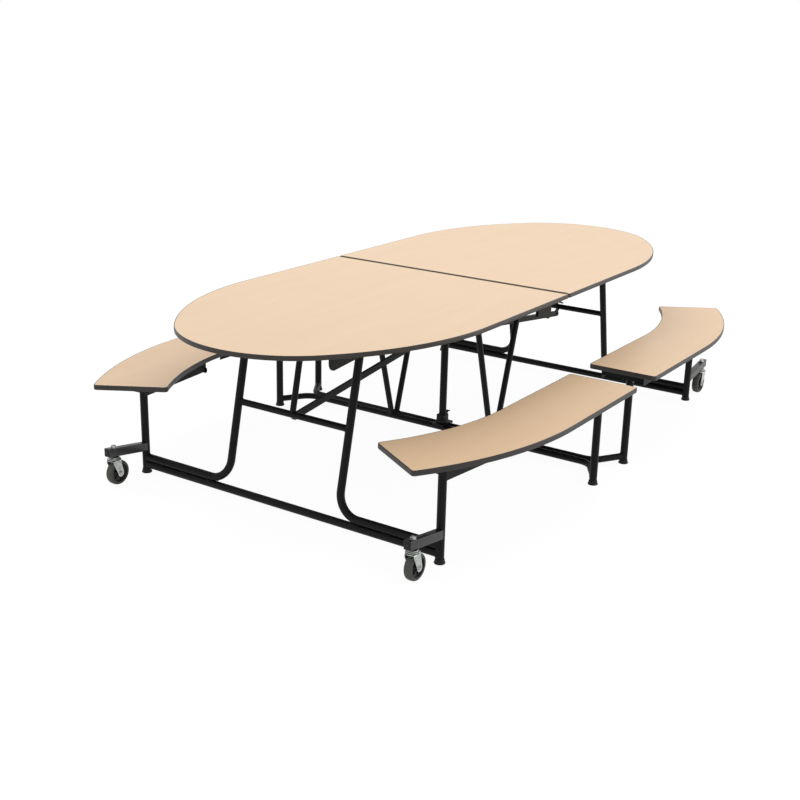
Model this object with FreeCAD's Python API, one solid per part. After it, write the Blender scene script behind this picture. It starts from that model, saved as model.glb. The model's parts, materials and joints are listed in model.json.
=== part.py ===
import FreeCAD, Part
import math
import os

# Cafeteria folding table with four attached benches.  Millimetres, +Z up, +X along the table.
# The origin lies on the floor under the middle of the top.  The table stands unfolded.
# Every piece is drawn in the quarter or half with positive X and is then placed in the others.

# Table top
TOP_LENGTH = 3010.0
TOP_WIDTH = 1182.0
TOP_HEIGHT = 736.6
TOP_THICKNESS = 17.5
TOP_STRAIGHT = 662.0        # half length of the straight long sides
TOP_END_RADIUS = 441.0      # the arc round each end; the shoulder arc follows from it
TOP_CORNER = 10.0           # corner radius beside the fold line
FOLD_GAP = 3.0
EDGE_BAND = 3.0
EDGE_ROUND = 1.4

# Benches
SEAT_HEIGHT = 429.0
SEAT_THICKNESS = 19.5
SEAT_WIDTH = 300.0
SEAT_SIDE_GAP = 71.0        # from the side of the top to the bench
SEAT_INNER_END = 88.0
SEAT_TIP_INSIDE = 1237.0    # where the slanting outer end meets the inside edge
SEAT_TIP_OUTSIDE = 1388.5
SEAT_TIP_DROP = 168.0       # how far the inside edge has curved in at its tip
SEAT_TIP_OUT_DROP = 220.0   # the same for the outside edge
SEAT_CORNER = 14.0

# Rails under the top
RAIL_Y = 308.0
RAIL_WEB = 4.0
RAIL_DEPTH = 45.0
RAIL_FLANGE = 26.0
FLANGE_THICKNESS = 3.0
RAIL_START = 90.0
WING_START = 978.0          # beyond here the rail deepens into a wing
WING_END = 1264.0
WING_DEPTH = 71.0
WING_CORNER = 30.0
LEAF_Y = 478.0
LEAF_START = 30.0
LEAF_END = 157.0
PIVOT_BELOW_TOP = 22.6      # pivot axes below the underside of the top

# End frames
END_PIVOT_X = 1014.0
END_PIVOT_RADIUS = 14.0
END_LEAN = 12.26             # degrees from upright
LEG_Y = 266.0
LEG_RADIUS = 15.5
LEG_BEND = 90.0
TUBE_WALL = 2.0
BASE_RADIUS = 15.5
BASE_Z = 36.3
BRACE_Z = 382.0
BRACE_RADIUS = 13.0
UPRIGHT_RADIUS = 12.0
PIVOT_CAP = 4.0
PIVOT_CAP_RIM = 3.0
PIVOT_END = 1.0             # the pivot tubes pass this far through the rails
POST_X = 1151.0
POST_Y = 713.0
POST_RADIUS = 16.0
POST_PLATE = 4.0

# Feet
FOOT_RADIUS = 21.0
FOOT_NECK = 17.5
FOOT_HEIGHT = 18.0
FOOT_SOLE = 5.0

# Caster arms and casters
ARM_END_X = 1362.0
ARM_WIDTH = 30.0
ARM_LOW = 96.0
ARM_RISE = 33.0             # the arm climbs this much from the post to its end
ARM_HEIGHT = 35.0
SOCKET_RADIUS = 13.0        # boss through the arm round the caster bolt
SOCKET_LOW = 120.0
SOCKET_TOP = 156.5          # floor of the nut's pocket
NUT_GAP = 0.5
STEM_X = 1327.0
STEM_RADIUS = 6.0
STEM_HEAD_RADIUS = 11.0
STEM_HEAD = 3.5
STEM_RISE = 13.0
STEM_NUT = 10.0
STEM_NUT_RADIUS = 10.8
RACE_RADIUS = 26.0
RACE_HEIGHT = 9.7
RACE_NECK = 20.0            # radius of the upper disc of the race
RACE_NECK_HEIGHT = 4.0
CASTER_TRAIL = 15.0
CROWN_THICKNESS = 3.0
FORK_WALL = 2.5
FORK_SIDE_GAP = 2.5
FORK_CROWN = 24.0
FORK_CROWN_ROUND = 30.0
FORK_NECK = 19.0
FORK_SHOULDER = 10.0
FORK_NOSE = 15.0
WHEEL_RADIUS = 50.8
WHEEL_WIDTH = 32.0
WHEEL_LIFT = 0.3
TYRE_DEPTH = 12.0
TYRE_ROUND = 7.0
HUB_WEB = 18.0
HUB_RIM = 30.0
HUB_RIM_WALL = 3.0
HUB_BOSS = 11.0
AXLE_RADIUS = 5.0
AXLE_HEAD_RADIUS = 8.0
AXLE_HEAD = 4.0

# Centre frames
CENTRE_PIVOT_X = 211.0
CENTRE_PIVOT_RADIUS = 14.0
CENTRE_BASE_X = 18.0
CENTRE_BASE_Z = 32.5
CENTRE_BASE_RADIUS = 14.0
CENTRE_BASE_BEND = 80.0
CENTRE_SWEEP = 83.0         # the ends turn outwards this far before the inner posts
V_LEG_Y = 265.0
V_LEG_RADIUS = 13.0
INNER_POST_X = 150.7
INNER_POST_Y = 826.5
INNER_POST_RADIUS = 15.9
INNER_PLATE = 40.0

# Middle hinge link and centre post
HINGE_X = 60.0
HINGE_PIN_RADIUS = 6.0
PIN_HEAD = 3.0
PIN_HEAD_RIM = 3.0
LINK_PLATE = 4.0
LINK_NOSE = 16.0
LINK_DEPTH = 90.0           # from the hinge axes to the lowest corner of a bracket
LINK_FOOT = 38.0            # X of that corner
LINK_SLOPE = 16.0           # degrees, how the lower edge climbs from there
LINK_NIP = 3.0              # the right side slants in this much below the hinge axis
LINK_PLATE_START = -40.0
LINK_TUBE = 40.0
LINK_TUBE_DROP = 10.0
CENTRE_POST_RADIUS = 16.5
CENTRE_POST_LOW = 85.0
SADDLE_WIDTH = 60.0
SADDLE_THICKNESS = 5.0
SADDLE_EAR = 6.0
SADDLE_EAR_GAP = 4.0
SADDLE_NECK = 3.0           # wall of the socket round the foot of the centre post
SADDLE_NECK_RISE = 4.0
LATCH_ROD_RADIUS = 3.5
LATCH_ROD_REACH = 62.0
LATCH_ROD_HOOK = 34.0
LATCH_ROD_DROP = 11.0
LATCH_ROD_BEND = 11.0

# Sync struts between the end frames and the centre post
STRUT_PIVOT_X = 1036.0
STRUT_PIVOT_Z = 356.5
STRUT_TOP_X = -36.0
STRUT_TOP_Z = 486.5
STRUT_HEIGHT = 26.0
STRUT_THICKNESS = 12.0
STRUT_WALL = 2.0
STRUT_PIN_RADIUS = 5.0
POST_SIDE_GAP = 1.0         # from the centre post to its slot plates
LUG_THICKNESS = 4.0
LUG_HALF = 11.0             # half width of the lug that carries the lower pin
SLOT_ANGLE = 25.2           # degrees, how steeply the slot falls from the rest position
SLOT_TRAVEL = 56.0
SLOT_RISE = 3.1             # the slot's middle line above the pin's rest position
SLOT_HALF_WIDTH = 9.2
SLOT_PLATE_MARGIN = 13.0
SLOT_PLATE_TOP = 546.5
SLOT_TAB = 24.0

# Bench hinges and under-frames
BENCH_PIVOT_X = 1178.0
BENCH_PIVOT_Z = 373.0
BENCH_PIN_RADIUS = 5.0
BENCH_LUG_RADIUS = 10.0
CHEEK_THICKNESS = 3.0
CHEEK_NOSE = 12.0
CHEEK_REACH = 150.0
CHEEK_TAIL = 25.0
SEAT_RAIL_WIDTH = 36.0
SEAT_RAIL_HEIGHT = 24.0
SEAT_RAIL_WALL = 2.0
SEAT_RAIL_START = 118.0
SEAT_RAIL_END = 1200.0
INNER_PAN_START = 105.0
INNER_PAN_END = 690.0
INNER_PAN_Y = 810.0
INNER_PAN_WIDTH = 192.0
OUTER_PAN_START = 862.0
OUTER_PAN_END = 1262.0
OUTER_PAN_WIDTH = 200.0
PAN_SHEET = 2.5
PAN_DEPTH = 36.0
PAN_END_DEPTH = 23.0
GUIDE_LENGTH = 118.0
GUIDE_START = 112.0
GUIDE_GAP = 2.0

# Clearances
REST_GAP = 0.3
RUN_GAP = 0.1
SIDE_GAP = 0.5
CUT_PAST = 1.0              # cutters pass this far through a face

UNDER_TOP = TOP_HEIGHT - TOP_THICKNESS
UNDER_SEAT = SEAT_HEIGHT - SEAT_THICKNESS
PAN_UNDER = UNDER_SEAT - PAN_SHEET
PIVOT_Z = UNDER_TOP - PIVOT_BELOW_TOP
HALF_WIDTH = TOP_WIDTH / 2
END_REACH = TOP_LENGTH / 2 - TOP_STRAIGHT
POST_TOP = UNDER_SEAT - SEAT_RAIL_HEIGHT - REST_GAP
LEG_RUN_Z = BASE_Z + BASE_RADIUS + LEG_RADIUS + RUN_GAP
AXLE_Z = WHEEL_RADIUS + WHEEL_LIFT
FORK_INNER = WHEEL_WIDTH / 2 + FORK_SIDE_GAP
CROWN_TOP = SOCKET_LOW - RACE_HEIGHT - REST_GAP
STEM_TOP = SOCKET_TOP + STEM_RISE
LINK_TUBE_TOP = PIVOT_Z - LINK_TUBE_DROP
SLOT_PLATE_Y = CENTRE_POST_RADIUS + POST_SIDE_GAP
STRUT_Y = SLOT_PLATE_Y + LUG_THICKNESS + SIDE_GAP + STRUT_THICKNESS / 2

X_AXIS = FreeCAD.Vector(1, 0, 0)
Y_AXIS = FreeCAD.Vector(0, 1, 0)
Z_AXIS = FreeCAD.Vector(0, 0, 1)
ORIGIN = FreeCAD.Vector(0, 0, 0)


def point(x, y, z):
    return FreeCAD.Vector(x, y, z)


def box(low, high):
    size = high - low
    return Part.makeBox(size.x, size.y, size.z, low)


def rod(start, end, radius):
    return Part.makeCylinder(radius, (end - start).Length, start, end - start)


def tube(start, end, radius, wall=TUBE_WALL):
    return rod(start, end, radius).cut(rod(start, end, radius - wall))


def prism_y(points, y_low, y_high):
    """A polygon of (x, z) points, drawn out along Y."""
    corners = [point(x, y_low, z) for x, z in points]
    face = Part.Face(Part.makePolygon(corners + corners[:1]))
    return face.extrude(point(0, y_high - y_low, 0))


def bent_path(corners, radius):
    """Straight runs through the corners, joined by tangent arcs of one radius."""
    edges = []
    start = corners[0]
    for before, corner, after in zip(corners, corners[1:], corners[2:]):
        back = (before - corner).normalize()
        on = (after - corner).normalize()
        half = back.getAngle(on) / 2
        first = corner + back * (radius / math.tan(half))
        last = corner + on * (radius / math.tan(half))
        middle_way = (back + on).normalize()
        middle = corner + middle_way * (radius / math.sin(half) - radius)
        edges.append(Part.LineSegment(start, first).toShape())
        edges.append(Part.Arc(first, middle, last).toShape())
        start = last
    edges.append(Part.LineSegment(start, corners[-1]).toShape())
    return Part.Wire(edges)


def swept(path, start, direction, radius):
    ring = Part.Wire([Part.makeCircle(radius, start, direction)])
    return path.makePipeShell([ring], True, True)


def bent_tube(corners, bend, radius, wall=TUBE_WALL):
    path = bent_path(corners, bend)
    direction = corners[1] - corners[0]
    outer = swept(path, corners[0], direction, radius)
    inner = swept(path, corners[0], direction, radius - wall)
    return outer.cut(inner)


def largest_solid(shape):
    return max(shape.Solids, key=lambda solid: solid.Volume)


def group(shapes):
    return Part.makeCompound([solid for shape in shapes for solid in shape.Solids])


def mirrored_y(shape):
    return shape.mirror(ORIGIN, Y_AXIS)


def both_sides(shape):
    return group([shape, mirrored_y(shape)])


# Boards with a moulded edge band

def rounded_slab(wire, z_low, thickness, corners, radius):
    """A flat slab of the outline, with its upright edges at the named corners rounded."""
    face = Part.Face(wire)
    face.translate(Z_AXIS * z_low)
    slab = face.extrude(Z_AXIS * thickness)
    picked = []
    for edge in slab.Edges:
        ends = [vertex.Point for vertex in edge.Vertexes]
        upright = len(ends) == 2 and abs(ends[0].z - ends[1].z) > thickness / 2
        at_corner = any(math.hypot(ends[0].x - x, ends[0].y - y) < 0.01 for x, y in corners)
        if upright and at_corner:
            picked.append(edge)
    return slab.makeFillet(radius, picked)


def board_and_band(slab, z_low, thickness):
    """Split a slab into its board and the edge band round it."""
    under = [f for f in slab.Faces if f.normalAt(0, 0).z < -0.9 and f.CenterOfMass.z < z_low + 0.1]
    plan = under[0].makeOffset2D(-EDGE_BAND)
    board = plan.extrude(Z_AXIS * thickness)
    if board.BoundBox.ZMax > z_low + thickness + 0.1 or board.BoundBox.ZMin < z_low - 0.1:
        board.translate(Z_AXIS * (z_low - board.BoundBox.ZMin))
    band = slab.cut(board)
    rims = []
    for edge in band.Edges:
        bounds = edge.BoundBox
        level = bounds.ZMax - bounds.ZMin < 0.01
        outside = min(edge.distToShape(face)[0] for face in board.Faces) > EDGE_BAND / 2
        if level and outside:
            rims.append(edge)
    return board, band.makeFillet(EDGE_ROUND, rims)


def line(start, end):
    return Part.LineSegment(point(*start, 0), point(*end, 0)).toShape()


def top_shoulder():
    """The arc from the end of a straight side to the start of the end arc."""
    over = END_REACH - TOP_END_RADIUS
    rise = HALF_WIDTH ** 2 + over ** 2 - TOP_END_RADIUS ** 2
    radius = rise / (TOP_WIDTH - 2 * TOP_END_RADIUS)
    centre = point(TOP_STRAIGHT, HALF_WIDTH - radius, 0)
    end_centre = point(TOP_LENGTH / 2 - TOP_END_RADIUS, 0, 0)
    way = (end_centre - centre).normalize()
    meeting = centre + way * radius
    middle_way = (way + Y_AXIS).normalize()
    start = point(TOP_STRAIGHT, HALF_WIDTH, 0)
    return Part.Arc(start, centre + middle_way * radius, meeting).toShape(), meeting


def top_half():
    start = FOLD_GAP / 2
    shoulder, meeting = top_shoulder()
    other = point(meeting.x, -meeting.y, 0)
    edges = [
        Part.Arc(meeting, point(TOP_LENGTH / 2, 0, 0), other).toShape(),
        shoulder,
        shoulder.mirror(ORIGIN, Y_AXIS),
        line((TOP_STRAIGHT, HALF_WIDTH), (start, HALF_WIDTH)),
        line((start, HALF_WIDTH), (start, -HALF_WIDTH)),
        line((start, -HALF_WIDTH), (TOP_STRAIGHT, -HALF_WIDTH)),
    ]
    wire = Part.Wire(Part.__sortEdges__(edges))
    corners = [(start, HALF_WIDTH), (start, -HALF_WIDTH)]
    slab = rounded_slab(wire, UNDER_TOP, TOP_THICKNESS, corners, TOP_CORNER)
    return board_and_band(slab, UNDER_TOP, TOP_THICKNESS)


def side_arc(side_y, tip_x, tip_y):
    """The arc that leaves a straight side at TOP_STRAIGHT and ends in a tip."""
    run = tip_x - TOP_STRAIGHT
    drop = side_y - tip_y
    radius = (run ** 2 + drop ** 2) / (2 * drop)
    centre_y = side_y - radius
    half_turn = math.asin(run / radius) / 2
    middle = point(TOP_STRAIGHT + radius * math.sin(half_turn), centre_y + radius * math.cos(half_turn), 0)
    return Part.Arc(point(TOP_STRAIGHT, side_y, 0), middle, point(tip_x, tip_y, 0)).toShape()


def seat():
    inside = HALF_WIDTH + SEAT_SIDE_GAP
    outside = inside + SEAT_WIDTH
    tip_in = (SEAT_TIP_INSIDE, inside - SEAT_TIP_DROP)
    tip_out = (SEAT_TIP_OUTSIDE, outside - SEAT_TIP_OUT_DROP)
    corners = [(SEAT_INNER_END, inside), tip_in, tip_out, (SEAT_INNER_END, outside)]
    edges = [
        line(corners[0], (TOP_STRAIGHT, inside)),
        side_arc(inside, *tip_in),
        line(tip_in, tip_out),
        side_arc(outside, *tip_out),
        line((TOP_STRAIGHT, outside), corners[3]),
        line(corners[3], corners[0]),
    ]
    wire = Part.Wire(Part.__sortEdges__(edges))
    slab = rounded_slab(wire, UNDER_SEAT, SEAT_THICKNESS, corners, SEAT_CORNER)
    return board_and_band(slab, UNDER_SEAT, SEAT_THICKNESS)


# Steel under the top

def angle_rail(x_low, x_high, y_web):
    """An upright web with a flange on its outer side, screwed up against the board."""
    web = box(point(x_low, y_web - RAIL_WEB / 2, UNDER_TOP - RAIL_DEPTH),
              point(x_high, y_web + RAIL_WEB / 2, UNDER_TOP))
    return web.fuse(rail_flange(x_low, x_high, y_web)).removeSplitter()


def rail_flange(x_low, x_high, y_web):
    return box(point(x_low, y_web - RAIL_WEB / 2, UNDER_TOP - FLANGE_THICKNESS),
               point(x_high, y_web + RAIL_FLANGE, UNDER_TOP))


def winged_rail():
    """The long rail, whose web deepens outboard of the end pivot and ends in a rounded corner."""
    outline = [
        (RAIL_START, UNDER_TOP),
        (WING_END, UNDER_TOP),
        (WING_END, UNDER_TOP - WING_DEPTH),
        (WING_START, UNDER_TOP - RAIL_DEPTH),
        (RAIL_START, UNDER_TOP - RAIL_DEPTH),
    ]
    web = prism_y(outline, RAIL_Y - RAIL_WEB / 2, RAIL_Y + RAIL_WEB / 2)
    corner = [e for e in web.Edges if e.BoundBox.ZMax < UNDER_TOP - WING_DEPTH + SIDE_GAP
              and e.BoundBox.XLength < SIDE_GAP]
    web = web.makeFillet(WING_CORNER, corner)
    return web.fuse(rail_flange(RAIL_START, WING_END, RAIL_Y)).removeSplitter()


def bored_y(shape, x, z, radius):
    return shape.cut(rod(point(x, 0, z), point(x, HALF_WIDTH, z), radius))


def top_rails():
    rail = winged_rail()
    rail = bored_y(rail, END_PIVOT_X, PIVOT_Z, END_PIVOT_RADIUS + RUN_GAP)
    rail = bored_y(rail, CENTRE_PIVOT_X, PIVOT_Z, CENTRE_PIVOT_RADIUS + RUN_GAP)
    leaf = angle_rail(LEAF_START, LEAF_END, LEAF_Y)
    leaf = bored_y(leaf, HINGE_X, PIVOT_Z, HINGE_PIN_RADIUS + RUN_GAP)
    return both_sides(group([rail, leaf]))


# End frames

def lean_x(z):
    """X of the leaning leg axis at a height."""
    return END_PIVOT_X + (PIVOT_Z - z) * math.tan(math.radians(END_LEAN))


def pivot_tube(x, radius):
    end = RAIL_Y + RAIL_WEB / 2 + PIVOT_END
    return point(x, -end, PIVOT_Z), point(x, end, PIVOT_Z), radius


def capped_tube(start, end, radius):
    rim = radius + PIVOT_CAP_RIM
    caps = [rod(start, start - Y_AXIS * PIVOT_CAP, rim), rod(end, end + Y_AXIS * PIVOT_CAP, rim)]
    return [tube(start, end, radius)] + caps


def post_space(x, y, radius):
    return rod(point(x, y, FOOT_SOLE), point(x, y, UNDER_SEAT), radius)


def end_legs():
    corners = [
        point(END_PIVOT_X, LEG_Y, PIVOT_Z),
        point(lean_x(LEG_RUN_Z), LEG_Y, LEG_RUN_Z),
        point(lean_x(LEG_RUN_Z), POST_Y, LEG_RUN_Z),
    ]
    leg = bent_tube(corners, LEG_BEND, LEG_RADIUS)
    leg = leg.cut(rod(*pivot_tube(END_PIVOT_X, END_PIVOT_RADIUS)))
    leg = largest_solid(leg.cut(post_space(POST_X, POST_Y, POST_RADIUS)))
    return both_sides(leg)


def end_cross_members():
    start, end, radius = pivot_tube(END_PIVOT_X, END_PIVOT_RADIUS)
    brace_x = lean_x(BRACE_Z)
    leg_top = point(END_PIVOT_X, LEG_Y, PIVOT_Z)
    leg_low = point(lean_x(LEG_RUN_Z), LEG_Y, LEG_RUN_Z)
    brace = tube(point(brace_x, -LEG_Y, BRACE_Z), point(brace_x, LEG_Y, BRACE_Z), BRACE_RADIUS)
    for side in (1, -1):
        low = point(leg_low.x, side * LEG_Y, leg_low.z)
        high = point(leg_top.x, side * LEG_Y, leg_top.z)
        brace = brace.cut(rod(low, high, LEG_RADIUS))
    brace = largest_solid(brace)
    upright = tube(point(brace_x, 0, BRACE_Z), point(END_PIVOT_X, 0, PIVOT_Z), UPRIGHT_RADIUS)
    upright = upright.cut(rod(point(brace_x, -LEG_Y, BRACE_Z), point(brace_x, LEG_Y, BRACE_Z), BRACE_RADIUS))
    upright = largest_solid(upright.cut(rod(start, end, radius)))
    return group(capped_tube(start, end, radius) + [brace, upright, strut_lug(brace_x)])


def strut_lug(brace_x):
    """The plate on the cross brace that carries the lower pin of the sync strut."""
    y_high = -SLOT_PLATE_Y
    y_low = y_high - LUG_THICKNESS
    pin = point(STRUT_PIVOT_X, 0, STRUT_PIVOT_Z)
    brace = point(brace_x, 0, BRACE_Z)
    way = (brace - pin).normalize()
    aside = point(-way.z, 0, way.x) * LUG_HALF
    corners = [pin + aside, brace + aside, brace - aside, pin - aside]
    plate = prism_y([(c.x, c.z) for c in corners], y_low, y_high)
    nose = rod(pin + Y_AXIS * y_low, pin + Y_AXIS * y_high, LUG_HALF)
    lug = plate.fuse(nose).removeSplitter()
    past = y_high + CUT_PAST
    lug = lug.cut(rod(point(brace_x, y_low - CUT_PAST, BRACE_Z), point(brace_x, past, BRACE_Z),
                      BRACE_RADIUS))
    bore = rod(point(STRUT_PIVOT_X, y_low - CUT_PAST, STRUT_PIVOT_Z),
               point(STRUT_PIVOT_X, past, STRUT_PIVOT_Z), STRUT_PIN_RADIUS + RUN_GAP)
    return largest_solid(lug.cut(bore))


def end_base_tube():
    base = tube(point(POST_X, -POST_Y, BASE_Z), point(POST_X, POST_Y, BASE_Z), BASE_RADIUS)
    for side in (1, -1):
        base = base.cut(post_space(POST_X, side * POST_Y, POST_RADIUS))
    return group([largest_solid(base)])


def outer_posts():
    """Each bench post has a head plate and the lug of the bench hinge."""
    tube_top = POST_TOP - POST_PLATE
    post = tube(point(POST_X, POST_Y, FOOT_SOLE), point(POST_X, POST_Y, tube_top), POST_RADIUS)
    half = POST_RADIUS + SIDE_GAP
    plate = box(point(POST_X - POST_RADIUS, POST_Y - half, tube_top),
                point(POST_X + POST_RADIUS, POST_Y + half, POST_TOP))
    low = point(POST_X, POST_Y - half, BENCH_PIVOT_Z - BENCH_LUG_RADIUS)
    high = point(BENCH_PIVOT_X, POST_Y + half, BENCH_PIVOT_Z + BENCH_LUG_RADIUS)
    axis_low = point(BENCH_PIVOT_X, POST_Y - half, BENCH_PIVOT_Z)
    axis_high = point(BENCH_PIVOT_X, POST_Y + half, BENCH_PIVOT_Z)
    lug = box(low, high).fuse(rod(axis_low, axis_high, BENCH_LUG_RADIUS))
    lug = lug.cut(rod(axis_low, axis_high, BENCH_PIN_RADIUS + RUN_GAP))
    lug = lug.cut(post_space(POST_X, POST_Y, POST_RADIUS))
    lug = max(lug.Solids, key=lambda solid: solid.BoundBox.XMax)
    return both_sides(post.fuse([plate, lug]).removeSplitter())


def foot(x, y, post_radius):
    cup = Part.makeCone(FOOT_RADIUS, FOOT_NECK, FOOT_HEIGHT, point(x, y, 0))
    return cup.cut(post_space(x, y, post_radius))


def arm_outline(inset):
    """Side view of the climbing arm; an inset one is the outline of its hollow."""
    low = ARM_LOW + inset
    high = ARM_LOW + ARM_HEIGHT - inset
    return [(POST_X, low), (ARM_END_X - inset, low + ARM_RISE), (ARM_END_X - inset, high + ARM_RISE),
            (POST_X, high)]


def stem_rod(low, high, radius):
    return rod(point(STEM_X, POST_Y, low), point(STEM_X, POST_Y, high), radius)


def caster_arms():
    """Closed rectangular tube with a boss for the caster bolt and a pocket for its nut."""
    half = ARM_WIDTH / 2
    inset = half - TUBE_WALL
    bar = prism_y(arm_outline(0), POST_Y - half, POST_Y + half)
    hollow = prism_y(arm_outline(TUBE_WALL), POST_Y - inset, POST_Y + inset)
    boss = stem_rod(SOCKET_LOW, STEM_TOP, SOCKET_RADIUS).common(bar)
    collar = stem_rod(SOCKET_LOW, (SOCKET_LOW + SOCKET_TOP) / 2, SOCKET_RADIUS)
    arm = bar.cut(hollow).fuse([boss, collar]).removeSplitter()
    arm = arm.cut(stem_rod(SOCKET_TOP, STEM_TOP, STEM_NUT_RADIUS + NUT_GAP))
    arm = arm.cut(stem_rod(SOCKET_LOW - CUT_PAST, SOCKET_TOP + CUT_PAST, STEM_RADIUS))
    arm = arm.cut(post_space(POST_X, POST_Y, POST_RADIUS))
    return both_sides(largest_solid(arm))


def caster_stems():
    """Bolt with a head under the crown of the fork, a race under the arm and a nut on top."""
    head_top = CROWN_TOP - CROWN_THICKNESS - REST_GAP
    race_low = SOCKET_LOW - RACE_HEIGHT
    bolt = stem_rod(head_top, STEM_TOP, STEM_RADIUS)
    head = stem_rod(head_top - STEM_HEAD, head_top, STEM_HEAD_RADIUS)
    race = stem_rod(race_low, SOCKET_LOW - RACE_NECK_HEIGHT, RACE_RADIUS)
    race = race.fuse(stem_rod(race_low, SOCKET_LOW, RACE_NECK)).removeSplitter()
    race = race.cut(stem_rod(race_low - CUT_PAST, SOCKET_LOW + CUT_PAST, STEM_RADIUS))
    floor = point(STEM_X, POST_Y, SOCKET_TOP)
    nut_points = []
    for step in range(7):
        turn = math.radians(60 * step)
        nut_points.append(floor + point(math.cos(turn), math.sin(turn), 0) * STEM_NUT_RADIUS)
    nut = Part.Face(Part.makePolygon(nut_points)).extrude(Z_AXIS * STEM_NUT)
    nut = nut.cut(stem_rod(SOCKET_TOP - CUT_PAST, STEM_TOP, STEM_RADIUS))
    return both_sides(group([bolt.fuse(head).removeSplitter(), race, nut]))


def caster_fork():
    axle_x = STEM_X - CASTER_TRAIL
    crown_low = CROWN_TOP - CROWN_THICKNESS
    outer = FORK_INNER + FORK_WALL
    crown = box(point(STEM_X - FORK_CROWN, POST_Y - outer, crown_low),
                point(STEM_X + FORK_CROWN, POST_Y + outer, CROWN_TOP))
    crown = crown.common(stem_rod(crown_low, CROWN_TOP, FORK_CROWN_ROUND))
    side = [
        (STEM_X - FORK_NECK, CROWN_TOP),
        (STEM_X + FORK_NECK, CROWN_TOP),
        (STEM_X + FORK_NECK, crown_low - FORK_SHOULDER),
        (axle_x + FORK_NOSE, AXLE_Z),
        (axle_x - FORK_NOSE, AXLE_Z),
        (STEM_X - FORK_NECK, crown_low - FORK_SHOULDER),
    ]
    pieces = []
    for y_low in (POST_Y - outer, POST_Y + FORK_INNER):
        plate = prism_y(side, y_low, y_low + FORK_WALL)
        nose = rod(point(axle_x, y_low, AXLE_Z), point(axle_x, y_low + FORK_WALL, AXLE_Z), FORK_NOSE)
        pieces += [plate, nose]
    fork = crown.fuse(pieces).removeSplitter()
    fork = fork.cut(stem_rod(0, SOCKET_LOW, STEM_RADIUS + REST_GAP))
    axle_low = point(axle_x, POST_Y - outer, AXLE_Z)
    axle_high = point(axle_x, POST_Y + outer, AXLE_Z)
    axle = rod(axle_low, axle_high, AXLE_RADIUS)
    fork = fork.cut(axle)
    axle = axle.fuse([rod(axle_low - Y_AXIS * AXLE_HEAD, axle_low, AXLE_HEAD_RADIUS),
                      rod(axle_high, axle_high + Y_AXIS * AXLE_HEAD, AXLE_HEAD_RADIUS)])
    return group([fork, axle.removeSplitter()])


def wheel_rod(radius, width):
    axle_x = STEM_X - CASTER_TRAIL
    return rod(point(axle_x, POST_Y - width / 2, AXLE_Z), point(axle_x, POST_Y + width / 2, AXLE_Z), radius)


def wheel_tyre():
    tyre = wheel_rod(WHEEL_RADIUS, WHEEL_WIDTH)
    tyre = tyre.makeFillet(TYRE_ROUND, [edge for edge in tyre.Edges if len(edge.Vertexes) == 1])
    return tyre.cut(wheel_rod(WHEEL_RADIUS - TYRE_DEPTH, WHEEL_WIDTH))


def wheel_hub():
    web = wheel_rod(WHEEL_RADIUS - TYRE_DEPTH, HUB_WEB)
    rim = wheel_rod(WHEEL_RADIUS - TYRE_DEPTH, HUB_RIM)
    rim = rim.cut(wheel_rod(WHEEL_RADIUS - TYRE_DEPTH - HUB_RIM_WALL, HUB_RIM))
    boss = wheel_rod(HUB_BOSS, 2 * (FORK_INNER - REST_GAP))
    hub = web.fuse([rim, boss]).removeSplitter()
    return hub.cut(wheel_rod(AXLE_RADIUS + RUN_GAP, 2 * FORK_INNER))


# Centre frames

def centre_base_tube():
    """Floor tube whose two ends sweep outwards to the inner bench posts."""
    straight = INNER_POST_Y - CENTRE_SWEEP
    corners = [
        point(INNER_POST_X, -INNER_POST_Y, CENTRE_BASE_Z),
        point(CENTRE_BASE_X, -straight, CENTRE_BASE_Z),
        point(CENTRE_BASE_X, straight, CENTRE_BASE_Z),
        point(INNER_POST_X, INNER_POST_Y, CENTRE_BASE_Z),
    ]
    base = bent_tube(corners, CENTRE_BASE_BEND, CENTRE_BASE_RADIUS)
    for side in (1, -1):
        base = base.cut(post_space(INNER_POST_X, side * INNER_POST_Y, INNER_POST_RADIUS))
    return group([largest_solid(base)])


def centre_v_legs():
    low = point(CENTRE_BASE_X, V_LEG_Y, CENTRE_BASE_Z)
    high = point(CENTRE_PIVOT_X, V_LEG_Y, PIVOT_Z)
    leg = tube(low, high, V_LEG_RADIUS)
    leg = leg.cut(rod(point(CENTRE_BASE_X, 0, CENTRE_BASE_Z),
                      point(CENTRE_BASE_X, HALF_WIDTH, CENTRE_BASE_Z), CENTRE_BASE_RADIUS))
    leg = leg.cut(rod(*pivot_tube(CENTRE_PIVOT_X, CENTRE_PIVOT_RADIUS)))
    return both_sides(largest_solid(leg))


def centre_pivot_tube():
    return group(capped_tube(*pivot_tube(CENTRE_PIVOT_X, CENTRE_PIVOT_RADIUS)))


def inner_posts():
    tube_top = POST_TOP - POST_PLATE
    post = tube(point(INNER_POST_X, INNER_POST_Y, FOOT_SOLE), point(INNER_POST_X, INNER_POST_Y, tube_top),
                INNER_POST_RADIUS)
    half = INNER_PLATE / 2
    plate = box(point(INNER_POST_X - half, INNER_POST_Y - half, tube_top),
                point(INNER_POST_X + half, INNER_POST_Y + half, POST_TOP))
    return both_sides(post.fuse(plate).removeSplitter())


# Middle hinge link

def link_edge_z(x):
    """Height of a bracket's slanting lower edge."""
    return PIVOT_Z - LINK_DEPTH + (LINK_FOOT - x) * math.tan(math.radians(LINK_SLOPE))


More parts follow.
